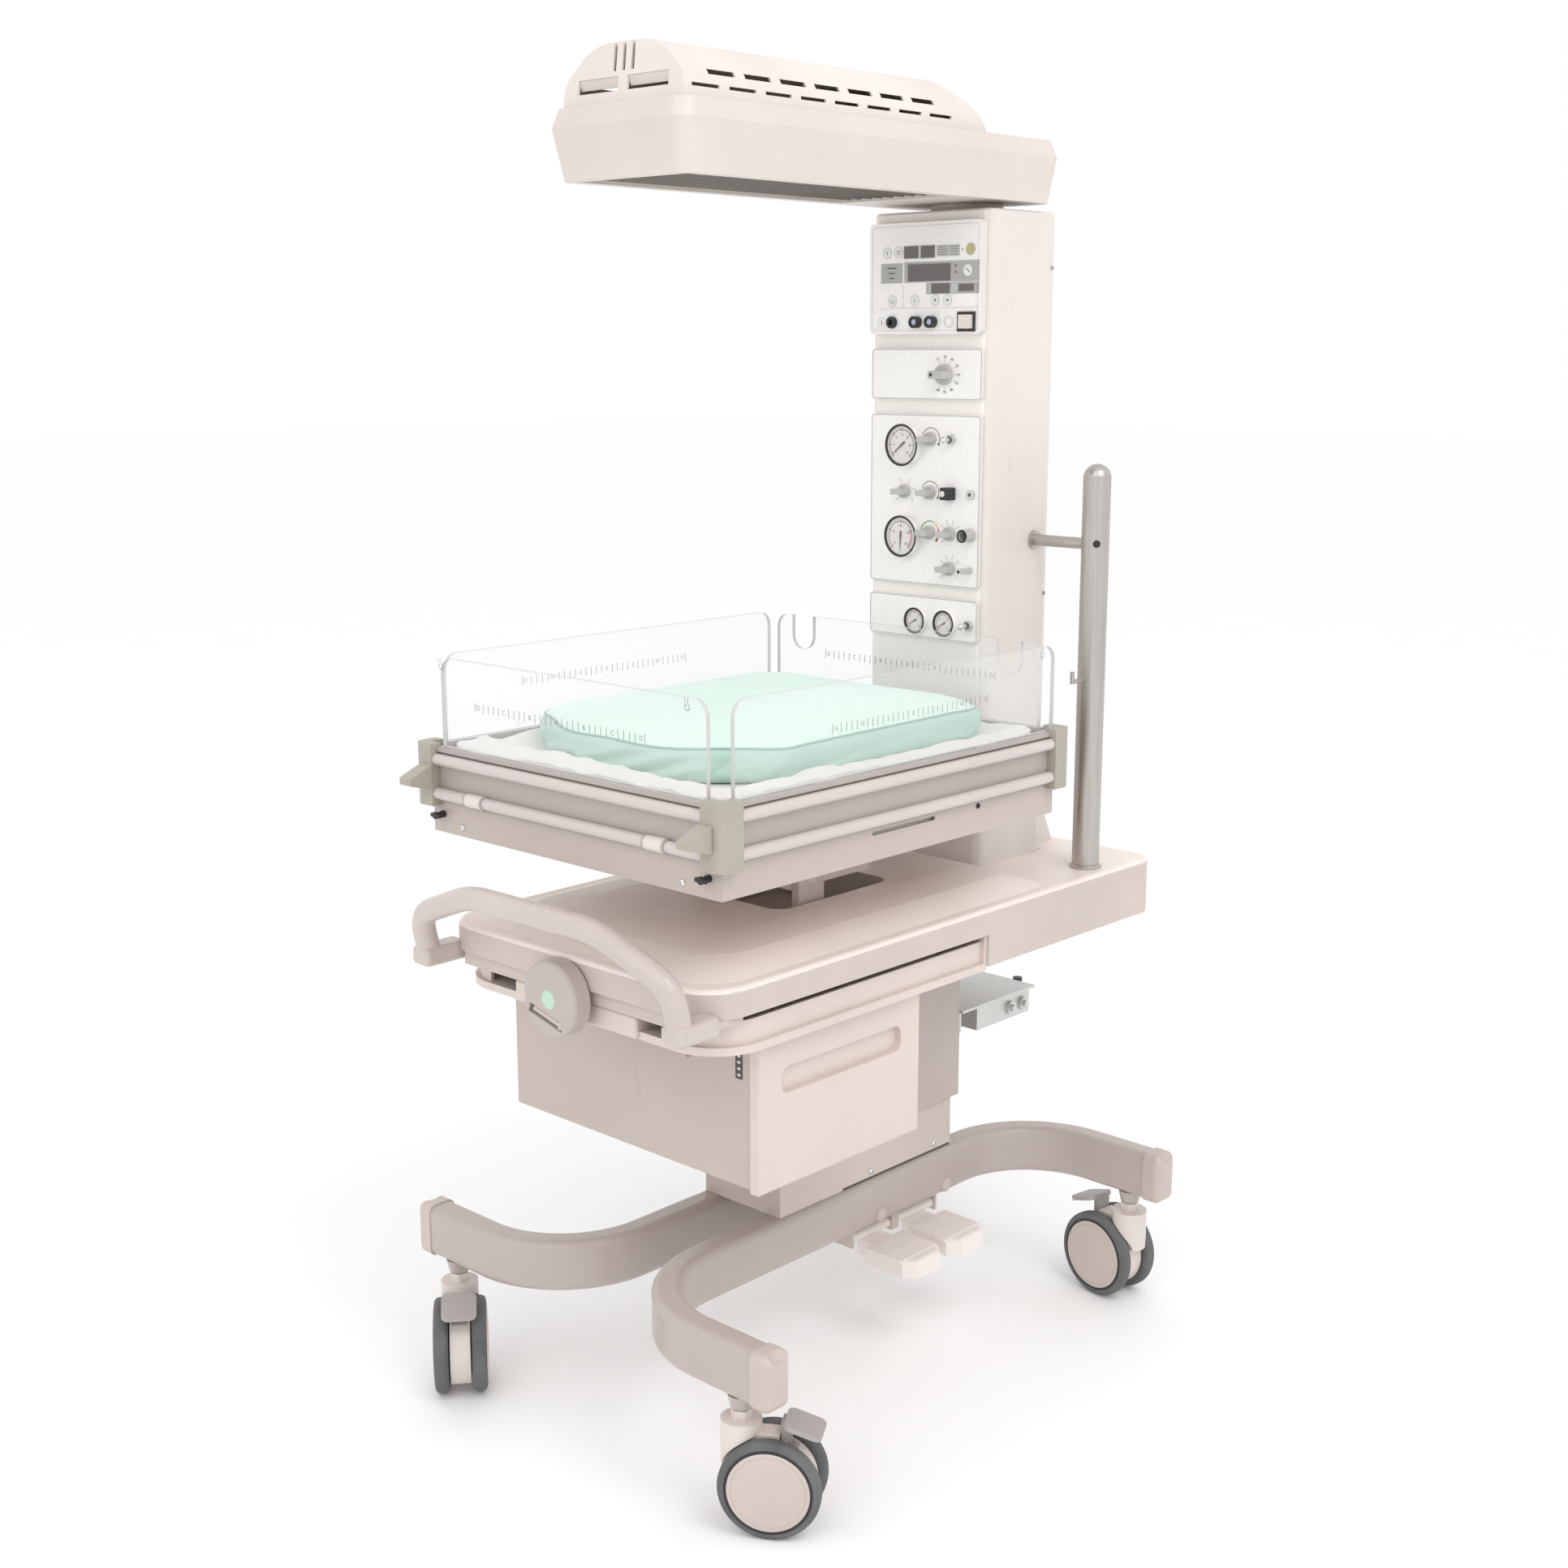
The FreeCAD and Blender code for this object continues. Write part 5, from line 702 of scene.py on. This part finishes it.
def slab(name, corners, depth, look, body):
    """A four-cornered plate: the corners of its face, and the way to its back."""
    face = [Vector(c) for c in corners]
    sides = [(i + 4, i, (i + 1) % 4, (i + 1) % 4 + 4) for i in range(4)]
    made = mesh_object(name, face + [c + Vector(depth) for c in face], [(3, 2, 1, 0), (4, 5, 6, 7), *sides])
    made.data.materials.append(looks[look])
    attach(made, body)


def front_slab(name, x0, x1, z0, z1, y, thick, look, body, slot):
    """A flat plate that faces the front, at y, with its back behind."""
    slab(name, [(x0, y, z0), (x0, y, z1), (x1, y, z1), (x1, y, z0)], (0, thick, 0), look, body)


def screw(name, place, axis, radius, body, look="chrome"):
    """A pan-head screw with a socket recess."""
    profile = ((1, 0), (1, 0.25), (0.82, 0.5), (0.45, 0.62), (0.40, 0.62), (0.38, 0.2))
    turned(name, [(radius * r, radius * h) for r, h in profile], place, axis, look, body, 20)


# Base: covers on the leg bolts, and screws in the column's foot
LEG_FACE = 0.078
LEG_BOLT_Z = 0.182
COLUMN_SIDE = 0.0698
for side in (1, -1):
    for tag, y in (("rear", 0.227), ("front", 0.082)):
        name = f"leg_cap_{tag}_{'right' if side > 0 else 'left'}"
        turned(name, [(0.0105, 0), (0.0105, 0.0012), (0.0090, 0.0030), (0.0056, 0.0042), (0.0015, 0.0046)],
               (side * (LEG_FACE - 0.0002), y, LEG_BOLT_Z), (side, 0, 0), "cap", "base")
for tag, y, z in (("a", 0.069, 0.249), ("b", 0.207, 0.250)):
    screw("column_screw_" + tag, (COLUMN_SIDE, y, z), (1, 0, 0), 0.0045, "base")
    screw("column_screw_left_" + tag, (-COLUMN_SIDE, y, z), (-1, 0, 0), 0.0045, "base")

# Bassinet: screws and pins in the tray, sleeves and clips on the front rail's bead
PIN_Z = 0.792
PIN_HALF = 0.009
BEAD_Y = -0.4186
BEAD_Z = 0.820
SLEEVE_HALF = 0.0153
for tag, x in (("left", -0.203), ("right", 0.196)):
    screw("tray_screw_" + tag, (x, -0.4108, 0.7795), (0, -1, 0), 0.0046, "bassinet")
screw("tray_screw_side", (0.2588, 0.050, 0.8030), (1, 0, 0), 0.0036, "bassinet", "black")
for tag, x in (("left", -0.239), ("right", 0.239)):
    turned("tray_pin_" + tag,
           [(0.0045, 0), (0.0045, 0.006), (0.0032, 0.007), (0.0032, 0.012),
            (0.0048, 0.0125), (0.0048, 0.0155), (0.0040, 0.0165)],
           (x, -0.4105, PIN_Z), (0, -1, 0), "black", "bassinet", 20)
    turned("tray_pin_bar_" + tag, [(0.0022, 0), (0.0030, 0.001), (0.0030, 0.017), (0.0022, 0.018)],
           (x - PIN_HALF, -0.4240, PIN_Z), (1, 0, 0), "black", "bassinet", 16)
for tag, x in (("left", -0.1635), ("right", 0.1620)):
    turned("rail_sleeve_" + tag, [(0.0078, 0), (0.0088, 0.0006), (0.0088, 0.0300), (0.0078, 0.0306)],
           (x - SLEEVE_HALF, BEAD_Y, BEAD_Z), (1, 0, 0), "white", "bassinet", 24)
    for end, offset in (("a", -0.0175), ("b", 0.0165)):
        turned(f"rail_clip_{tag}_{end}", [(0.0080, 0), (0.0092, 0.0004), (0.0092, 0.0026), (0.0080, 0.003)],
               (x + offset, BEAD_Y, BEAD_Z), (1, 0, 0), "brake", "bassinet", 24)

# Drawer runner: its cover, with its end and holes beside it
RUNNER_Y = -0.3155
RUNNER_Z = (0.5180, 0.5708)
front_slab("runner_cover", -0.2240, 0.1840, *RUNNER_Z, -0.3156, 0.0010, "sheet", "carriage", "cream_paint")
front_slab("runner_end", 0.1852, 0.1945, *RUNNER_Z, -0.3152, 0.0008, "dark", "carriage", "black_plastic")
for k in range(4):
    low = 0.5215 + k * 0.008
    front_slab(f"runner_hole_{k + 1}", 0.1875, 0.1925, low, low + 0.0030, RUNNER_Y, 0.0004,
               "alloy", "carriage", "bright_steel")
screw("runner_screw", (0.104, RUNNER_Y, 0.527), (0, -1, 0), 0.0030, "carriage", "brake")

# Hood: plates behind the front louvres, given by the (y, z) of their lower and upper edge
LOUVRE_HALF = 0.0338
LOUVRE_LOW = (-0.2985, 1.6645)
LOUVRE_HIGH = (-0.3018, 1.6758)
for tag, x in (("left", -0.042), ("right", 0.042)):
    left, right = x - LOUVRE_HALF, x + LOUVRE_HALF
    slab("louvre_plate_" + tag,
         [(left, *LOUVRE_LOW), (left, *LOUVRE_HIGH), (right, *LOUVRE_HIGH), (right, *LOUVRE_LOW)],
         (0, 0.0010, 0), "hood", "hood")

# Column: a dark strip beside its foot, painted shade where it meets the legs
COLUMN_FACE = 0.0704
slab("column_painted_shade_strip",
     [(COLUMN_FACE, y, z) for y, z in ((0.010, 0.2384), (0.243, 0.2384), (0.243, 0.2412), (0.010, 0.2412))],
     (-0.0008, 0, 0), "dark", "base")

# Tower and pole
POLE = (0.208, 0.367)
POLE_RADIUS = 0.019
POLE_FOOT = 0.656
HOLE_Z = 1.112
HOLE_ANGLE = math.radians(-50)
for tag, z in (("low", 1.033), ("high", 1.480)):
    screw("tower_screw_" + tag, (0.1038, 0.394, z), (1, 0, 0), 0.0030, "carriage", "brake")
turned("pole_hole_rim", [(0.0052, 0), (0.0052, 0.0006), (0.0040, 0.0006), (0.0040, 0.0002)],
       (*around(POLE, POLE_RADIUS, HOLE_ANGLE), HOLE_Z),
       (math.cos(HOLE_ANGLE), math.sin(HOLE_ANGLE), 0), "black", "carriage", 20)
turned("pole_collar", [(0.0225, 0), (0.0225, 0.0030), (0.0205, 0.0050), (0.0193, 0.0052)],
       (*POLE, POLE_FOOT), (0, 0, 1), "steel", "carriage", 40)

# Controls: the hand wheel's badge, the probe plugs, and marks on one knob and the selector
turned("hand_wheel_badge", [(0.0118, 0), (0.0118, 0.0004), (0.0112, 0.0008), (0.0020, 0.0009)],
       (0, -0.4479, 0.6060), (0, -1, 0), "mint_dot", "tilt_wheel", 40)
for tag, x in (("left", -0.011), ("right", 0.016)):
    turned("probe_plug_" + tag, [(0.0045, 0), (0.0045, 0.0050), (0.0040, 0.0058), (0.0010, 0.0058)],
           (x, 0.2424, MODULE_ROW), (0, -1, 0), "probe", "carriage", 28)
turned("blender_mark", [(0.0025, 0), (0.0025, 0.0003), (0.0020, 0.0005)],
       (0.0250, 0.2305, BLEND_KNOB[1]), (0, -1, 0), "black", "knob_blender", 24)
turned("selector_mark", [(0.0042, 0), (0.0042, 0.0003), (0.0036, 0.0005)],
       (0.0435, 0.2365, PRESSURE_KNOB[1]), (0, -1, 0), "white", "breath_selector", 24)

# Casters: the stem's (x, y) and the way that the fork trails, in degrees
WHEEL_RADIUS = 0.0625
WHEEL_TRAIL = 0.038
WHEEL_FACE = 0.0344
HEADINGS = {"fl": (-0.2665, -0.392, -39), "fr": (0.2665, -0.392, 33), "rl": (-0.2665, 0.423, 8),
            "rr": (0.2665, 0.423, 171)}
for corner, (x, y, heading) in HEADINGS.items():
    away = Vector((math.cos(math.radians(heading)), math.sin(math.radians(heading)), 0))
    across = Vector((-away.y, away.x, 0))
    hub = Vector((x, y, WHEEL_RADIUS)) + away * WHEEL_TRAIL
    wheels = "caster_wheels_" + corner
    for tag, side in (("a", 1), ("b", -1)):
        out = across * side
        seat = hub + out * WHEEL_FACE
        turned(f"wheel_disc_{corner}_{tag}",
               [(0.0500, 0), (0.0500, 0.0006), (0.0490, 0.0011), (0.0455, 0.0012), (0.0450, 0.0007),
                (0.0443, 0.0007), (0.0438, 0.0013), (0.0300, 0.0022), (0.0120, 0.0026), (0.0010, 0.0027)],
               seat, out, "disc", wheels, 56)
        turned(f"wheel_ring_{corner}_{tag}",
               [(0.0535, 0), (0.0535, 0.0005), (0.0505, 0.0007), (0.0500, 0.0003)],
               seat, out, "black", wheels, 56)


# Scales and lift-off slots on the clear walls

LETTERS = ("D", "C", "B", "A", "B", "C", "D")
NUMBERS = ("15", "10", "5", "0", "5", "10", "15")
MARK_HALF = 0.0055
END_HALF = 0.0062
END_GAP = 0.006
FIGURE_HEIGHT = 0.0085
MARKS_PER_FIGURE = 5


def ruler(name, origin, right, figures, pitch):
    """A printed ruler centred on the origin, with marks between the figures."""
    scale = Print(name, origin, right, (0, 0, 1))
    count = len(figures)
    start = -(count - 1) / 2 * pitch
    for k in range((count - 1) * MARKS_PER_FIGURE + 1):
        u = start + k * pitch / MARKS_PER_FIGURE
        if k % MARKS_PER_FIGURE:
            scale.stroke(u, -MARK_HALF, u, MARK_HALF, 0.0010, "ink_grey")
    for k, figure in enumerate(figures):
        scale.text(figure, start + k * pitch, 0, FIGURE_HEIGHT, "ink_grey")
    for u in (start - END_GAP, start + (count - 1) * pitch + END_GAP):
        scale.stroke(u, -END_HALF, u, END_HALF, 0.0009, "ink_grey")
    return scale


def lift_slot(scale, u, v):
    """A lift-off slot in outline: an open ring and its throat."""
    scale.arc(u, v, 0.0032, 0.0041, 20, 340, "ink_grey")
    scale.stroke(u + 0.0010, v + 0.0040, u + 0.0010, v + 0.0106, 0.0009, "ink_grey")


front_scale = ruler("front_scale", (-0.016, -0.4113, 0.937), (1, 0, 0), LETTERS, 0.049)
for u in (-0.2195, 0.2225):
    lift_slot(front_scale, u, 0.0450)
    front_scale.stroke(u - 0.0035, 0.0495, u - 0.0035, 0.0556, 0.0009, "ink_grey")
front_scale.finish("panel_front", "clear_acrylic")
right_scale = ruler("right_scale", (0.2593, -0.0815, 0.939), (0, 1, 0), NUMBERS, 0.047)
lift_slot(right_scale, 0.2620, 0.0430)
right_scale.finish("panel_right", "clear_acrylic")
left_scale = ruler("left_scale", (-0.2593, -0.111, 0.943), (0, -1, 0), NUMBERS, 0.048)
left_scale.finish("panel_left", "clear_acrylic")
rear_scale = ruler("rear_scale", (0.012, 0.2047, 0.942), (1, 0, 0), LETTERS, 0.0488)
rear_scale.finish("panel_rear", "clear_acrylic")


# Soft goods: stacked outlines, puffed by a short cloth simulation, then creased and settled

def arc_points(corner, before, after, radius, steps=14):
    """Points round one corner of an outline, rounded to the radius."""
    back = (before - corner).normalized()
    ahead = (after - corner).normalized()
    half = back.angle(ahead) / 2
    centre = corner + (back + ahead).normalized() * (radius / math.sin(half))
    start = corner + back * (radius / math.tan(half)) - centre
    turn = math.copysign(math.pi - 2 * half, start.x * (corner - centre).y - start.y * (corner - centre).x)
    return [centre + Matrix.Rotation(turn * i / steps, 2) @ start for i in range(steps + 1)]


def outline(corners, count):
    """Evenly spaced points along a closed outline of (x, y, radius) corners."""
    points = []
    places = [Vector(c[:2]) for c in corners]
    for i, (_, _, radius) in enumerate(corners):
        points += arc_points(places[i], places[i - 1], places[(i + 1) % len(places)], radius)
    points.append(points[0])
    lengths = [0.0]
    for a, b in zip(points, points[1:]):
        lengths.append(lengths[-1] + (b - a).length)
    even = []
    index = 0
    for k in range(count):
        wanted = lengths[-1] * k / count
        while lengths[index + 1] < wanted:
            index += 1
        share = (wanted - lengths[index]) / max(1e-9, lengths[index + 1] - lengths[index])
        even.append(points[index].lerp(points[index + 1], share))
    return even


def stacked(name, rings):
    """A closed form through outlines (z, points), from the lowest to the highest."""
    count = len(rings[0][1])
    verts = [(p.x, p.y, z) for z, ring in rings for p in ring]
    faces = [tuple(reversed(range(count)))]
    for level in range(len(rings) - 1):
        low = level * count
        for i in range(count):
            j = (i + 1) % count
            faces.append((low + i, low + j, low + count + j, low + count + i))
    top = (len(rings) - 1) * count
    faces.append(tuple(top + i for i in range(count)))
    return mesh_object(name, verts, faces, smooth=True)


def applied(piece):
    """Replace the piece's mesh by the one its modifiers give."""
    graph = bpy.context.evaluated_depsgraph_get()
    mesh = bpy.data.meshes.new_from_object(piece.evaluated_get(graph))
    piece.modifiers.clear()
    piece.data = mesh


def puffed(piece, voxel, pressure, reach, rest_z, frames=18):
    """Remesh the piece, swell it as cloth under pressure, and keep each point within reach of its start."""
    remesh = piece.modifiers.new("remesh", "REMESH")
    remesh.mode = "VOXEL"
    remesh.voxel_size = voxel
    applied(piece)
    starts = [v.co.copy() for v in piece.data.vertices]
    held = piece.vertex_groups.new(name="held")
    held.add([v.index for v in piece.data.vertices if v.co.z < rest_z + 0.004], 1.0, "ADD")
    cloth = piece.modifiers.new("cloth", "CLOTH")
    cloth.settings.quality = 5
    cloth.settings.use_pressure = True
    cloth.settings.uniform_pressure_force = pressure
    cloth.settings.vertex_group_mass = "held"
    cloth.settings.effector_weights.gravity = 0
    cloth.point_cache.frame_end = frames
    for step in range(1, frames + 1):
        scene.frame_set(step)
    applied(piece)
    scene.frame_set(1)
    for vert, start in zip(piece.data.vertices, starts):
        shift = vert.co - start
        if shift.length > reach:
            vert.co = start + shift.normalized() * reach
    for vert in piece.data.vertices:
        vert.co.z = max(vert.co.z, rest_z)
    for polygon in piece.data.polygons:
        polygon.use_smooth = True


MATTRESS_LOW = 0.8643
MATTRESS_SEAM = 0.906
PAD_LOW = 0.7708
PAD_SIDE = 0.850
PAD_TOP = 0.864
PAD_PEAK = 0.884
PAD_CORNER = 0.038

# Where the mattress presses the pad flat, the tray's walls round the pad, and the bands in which it rises
PRESSED_X = (-0.222, 0.178)
PRESSED_Y = (-0.316, 0.166)
WALL_HALF = 0.2545
WALL_Y = (-0.4065, 0.2065)
RISE_BAND = 0.030
WALL_BAND = 0.010


def mattress_outline(inset, count=220):
    """The mattress lies a little to the left, with its front right corner cut back."""
    left, right = -0.240 + inset, 0.200 - inset
    rear, front = 0.186 - inset, -0.343 + inset
    return outline([
        (left, -0.268 + inset, 0.050), (-0.100, front, 0.150), (0.085, front, 0.120),
        (right, -0.245 + inset, 0.045), (right - 0.010, rear, 0.046), (left + 0.005, rear, 0.046)], count)


def pad_outline(inset, count=220):
    half = 0.2565 - inset
    front = -0.4085 + inset
    rear = 0.2085 - inset
    places = ((-half, front), (half, front), (half, rear), (-half, rear))
    return outline([(x, y, PAD_CORNER) for x, y in places], count)


mattress = stacked("mattress_cover", [
    (MATTRESS_LOW, mattress_outline(0.013)), (0.874, mattress_outline(0.006)),
    (0.886, mattress_outline(0.004)), (MATTRESS_SEAM - 0.002, mattress_outline(0.006)),
    (MATTRESS_SEAM + 0.003, mattress_outline(0.016)), (0.914, mattress_outline(0.035)),
    (0.920, mattress_outline(0.075)),
])
puffed(mattress, 0.006, 2.5, 0.005, MATTRESS_LOW)

base_pad = stacked("base_pad_cover", [
    (PAD_LOW, pad_outline(0.014)), (0.800, pad_outline(0.007)), (0.846, pad_outline(0.0045)),
    (0.858, pad_outline(0.006)), (PAD_TOP, pad_outline(0.014)),
])
puffed(base_pad, 0.008, 2.5, 0.004, PAD_LOW)


def smoothed(piece):
    """Divide each face of the piece once, with soft curvature."""
    piece.modifiers.new("subdivision", "SUBSURF").levels = 1
    applied(piece)
    for polygon in piece.data.polygons:
        polygon.use_smooth = True


smoothed(mattress)
smoothed(base_pad)


def folded(piece, rim, folds, low, high):
    """Press ridges (positive depth) and creases into the side band between two heights.

    A fold is (u0, z0, u1, z1, width, depth), with u the distance along the rim outline.
    """
    tree = KDTree(len(rim))
    for i, p in enumerate(rim):
        tree.insert((p.x, p.y, 0), i)
    tree.balance()
    step = (rim[1] - rim[0]).length
    moves = []
    for vert in piece.data.vertices:
        if not low < vert.co.z < high or abs(vert.normal.z) > 0.75:
            continue
        place = Vector((tree.find((vert.co.x, vert.co.y, 0))[1] * step, vert.co.z))
        push = 0.0
        for u0, z0, u1, z1, width, depth in folds:
            a = Vector((u0, z0))
            along = Vector((u1, z1)) - a
            share = max(0.0, min(1.0, (place - a).dot(along) / along.length_squared))
            gap = (place - a - along * share).length / width
            push += depth * math.exp(-gap * gap) * (0.35 + 0.65 * math.sin(math.pi * (0.12 + 0.76 * share)))
        fade = min(1.0, (vert.co.z - low) / 0.006, (high - vert.co.z) / 0.005)
        moves.append((vert, vert.normal * push * fade))
    for vert, move in moves:
        vert.co += move


rim = mattress_outline(0.002, 400)
folded(mattress, rim, [
    (0.030, 0.872, 0.105, 0.897, 0.0050, 0.0030), (0.055, 0.870, 0.150, 0.893, 0.0040, -0.0030),
    (0.090, 0.869, 0.200, 0.886, 0.0045, 0.0032), (0.130, 0.870, 0.205, 0.878, 0.0035, -0.0024),
    (0.215, 0.880, 0.290, 0.897, 0.0050, 0.0030), (0.235, 0.874, 0.330, 0.899, 0.0042, -0.0032),
    (0.270, 0.870, 0.372, 0.899, 0.0055, 0.0038), (0.310, 0.869, 0.395, 0.893, 0.0042, -0.0034),
    (0.345, 0.868, 0.410, 0.885, 0.0045, 0.0030), (0.415, 0.872, 0.450, 0.898, 0.0045, -0.0022),
    (0.470, 0.870, 0.520, 0.892, 0.0060, 0.0020), (0.560, 0.872, 0.650, 0.884, 0.0060, -0.0016),
    (0.640, 0.872, 0.642, 0.898, 0.0016, -0.0018), (0.700, 0.874, 0.800, 0.890, 0.0070, 0.0016),
    (1.000, 0.872, 1.120, 0.892, 0.0060, 0.0020), (1.250, 0.870, 1.330, 0.894, 0.0055, -0.0022),
    (1.480, 0.872, 1.600, 0.890, 0.0065, 0.0020), (1.660, 0.872, 1.740, 0.894, 0.0050, -0.0022),
], MATTRESS_LOW + 0.001, MATTRESS_SEAM - 0.002)


def settle(piece, height, spread):
    """Lift the loose cloth of the pad between the mattress and the tray's walls into soft rolls."""
    for vert in piece.data.vertices:
        if vert.co.z < PAD_SIDE:
            continue
        x, y = vert.co.xy
        away_x = max(0.0, x - PRESSED_X[1], PRESSED_X[0] - x)
        away_y = max(0.0, PRESSED_Y[0] - y, y - PRESSED_Y[1])
        reach = min(1.0, math.hypot(away_x, away_y) / RISE_BAND)
        swirl = noise.noise(Vector((x * 13, y * 13, 3.7)))
        ripple = noise.noise(Vector((x * 42, y * 34, 8.1)))
        edge = max(0.0, min(1.0, (WALL_HALF - abs(x)) / WALL_BAND, (y - WALL_Y[0]) / WALL_BAND,
                            (WALL_Y[1] - y) / WALL_BAND))
        lift = reach * (1.0 + 0.3 * swirl) * height + reach * ripple * spread
        vert.co.z = max(PAD_TOP, min(PAD_TOP + max(0.0, lift), PAD_PEAK) - (1 - edge) * 0.006)


settle(base_pad, 0.016, 0.004)


def surface_run(piece, ring, height, out):
    """Points where lines from outside an outline first meet the piece at one height, moved outwards."""
    graph = bpy.context.evaluated_depsgraph_get()
    tree = BVHTree.FromObject(piece, graph)
    centre = Vector((0, -0.09, height))
    points = []
    for p in ring:
        toward = (centre - Vector((p.x, p.y, height))).normalized()
        hit = tree.ray_cast(Vector((p.x, p.y, height)) - toward * 0.05, toward)
        if hit[0] is not None:
            points.append(hit[0] + hit[1] * out)
    return points


def closed_tube(name, points, radius):
    curve = bpy.data.curves.new(name, "CURVE")
    curve.dimensions = "3D"
    curve.bevel_depth = radius
    curve.bevel_resolution = 3
    spline = curve.splines.new("NURBS")
    spline.points.add(len(points) - 1)
    for target, p in zip(spline.points, points):
        target.co = (*p, 1)
    spline.use_cyclic_u = True
    spline.order_u = 3
    made = bpy.data.objects.new(name, curve)
    scene.collection.objects.link(made)
    return made


seam = surface_run(mattress, mattress_outline(0.0, 160), MATTRESS_SEAM, 0.0004)
piping = closed_tube("mattress_piping", seam, 0.0016)


def woven(name, colour, count, depth, sheen, wrinkle):
    """Cloth: two crossed yarn waves, soft creases, cloudy colour."""
    look = Look(name, Sheen_Weight=sheen, Sheen_Roughness=0.45)
    cloud = look.noise(9.0, 4.0)
    warp = look.wave(count, "X", 0.4)
    weft = look.wave(count, "Y", 0.4)
    yarn = look.math("MULTIPLY", warp, weft)
    mottled = look.ramp(cloud, (0.30, shade(colour, 0.95)), (0.72, shade(colour, 1.04)))
    thread = look.ramp(yarn, (0.0, shade(colour, 0.95)), (1.0, shade(colour, 1.03)))
    mixed = look.add("Mix", data_type="RGBA")
    mixed.inputs["Factor"].default_value = 0.35
    look.link(mottled, mixed.inputs["A"])
    look.link(thread, mixed.inputs["B"])
    look.colour(mixed.outputs["Result"])
    look.rough(cloud, 0.62, 0.82)
    look.bump(look.noise(26.0, 5.0), wrinkle, 0.35)
    look.bump(yarn, depth, 0.3)
    return look.material


# The mattress's top and side band are copies of one mint cloth, lighter on top as painted light and darker
# on the sides as painted shade.
looks["mint_side"] = woven("mint_cloth_side_painted_shade", (0.44, 0.63, 0.545), 330.0, 0.00012, 0.25, 0.0012)
looks["mint_top"] = woven("mint_cloth_top_painted_light", (0.67, 0.845, 0.755), 330.0, 0.00012, 0.25, 0.0008)
looks["mint_seam"] = woven("mint_cloth_seam", (0.30, 0.47, 0.395), 330.0, 0.00012, 0.2, 0.0004)
looks["linen"] = woven("white_linen", (0.80, 0.775, 0.755), 300.0, 0.00016, 0.2, 0.0022)
mattress.data.materials.append(looks["mint_top"])
mattress.data.materials.append(looks["mint_side"])
# Faces above the seam take the lighter copy, as painted light. Those below take the darker copy, as painted
# shade.
for polygon in mattress.data.polygons:
    polygon.material_index = 1 if polygon.center.z < MATTRESS_SEAM else 0
piping.data.materials.append(looks["mint_seam"])
base_pad.data.materials.append(looks["linen"])
for piece, node, slot in ((mattress, "mattress", "mattress_cloth"), (base_pad, "base_pad", "pad_cloth")):
    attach(piece, "bassinet")
    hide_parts(node)
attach(piping, "bassinet")
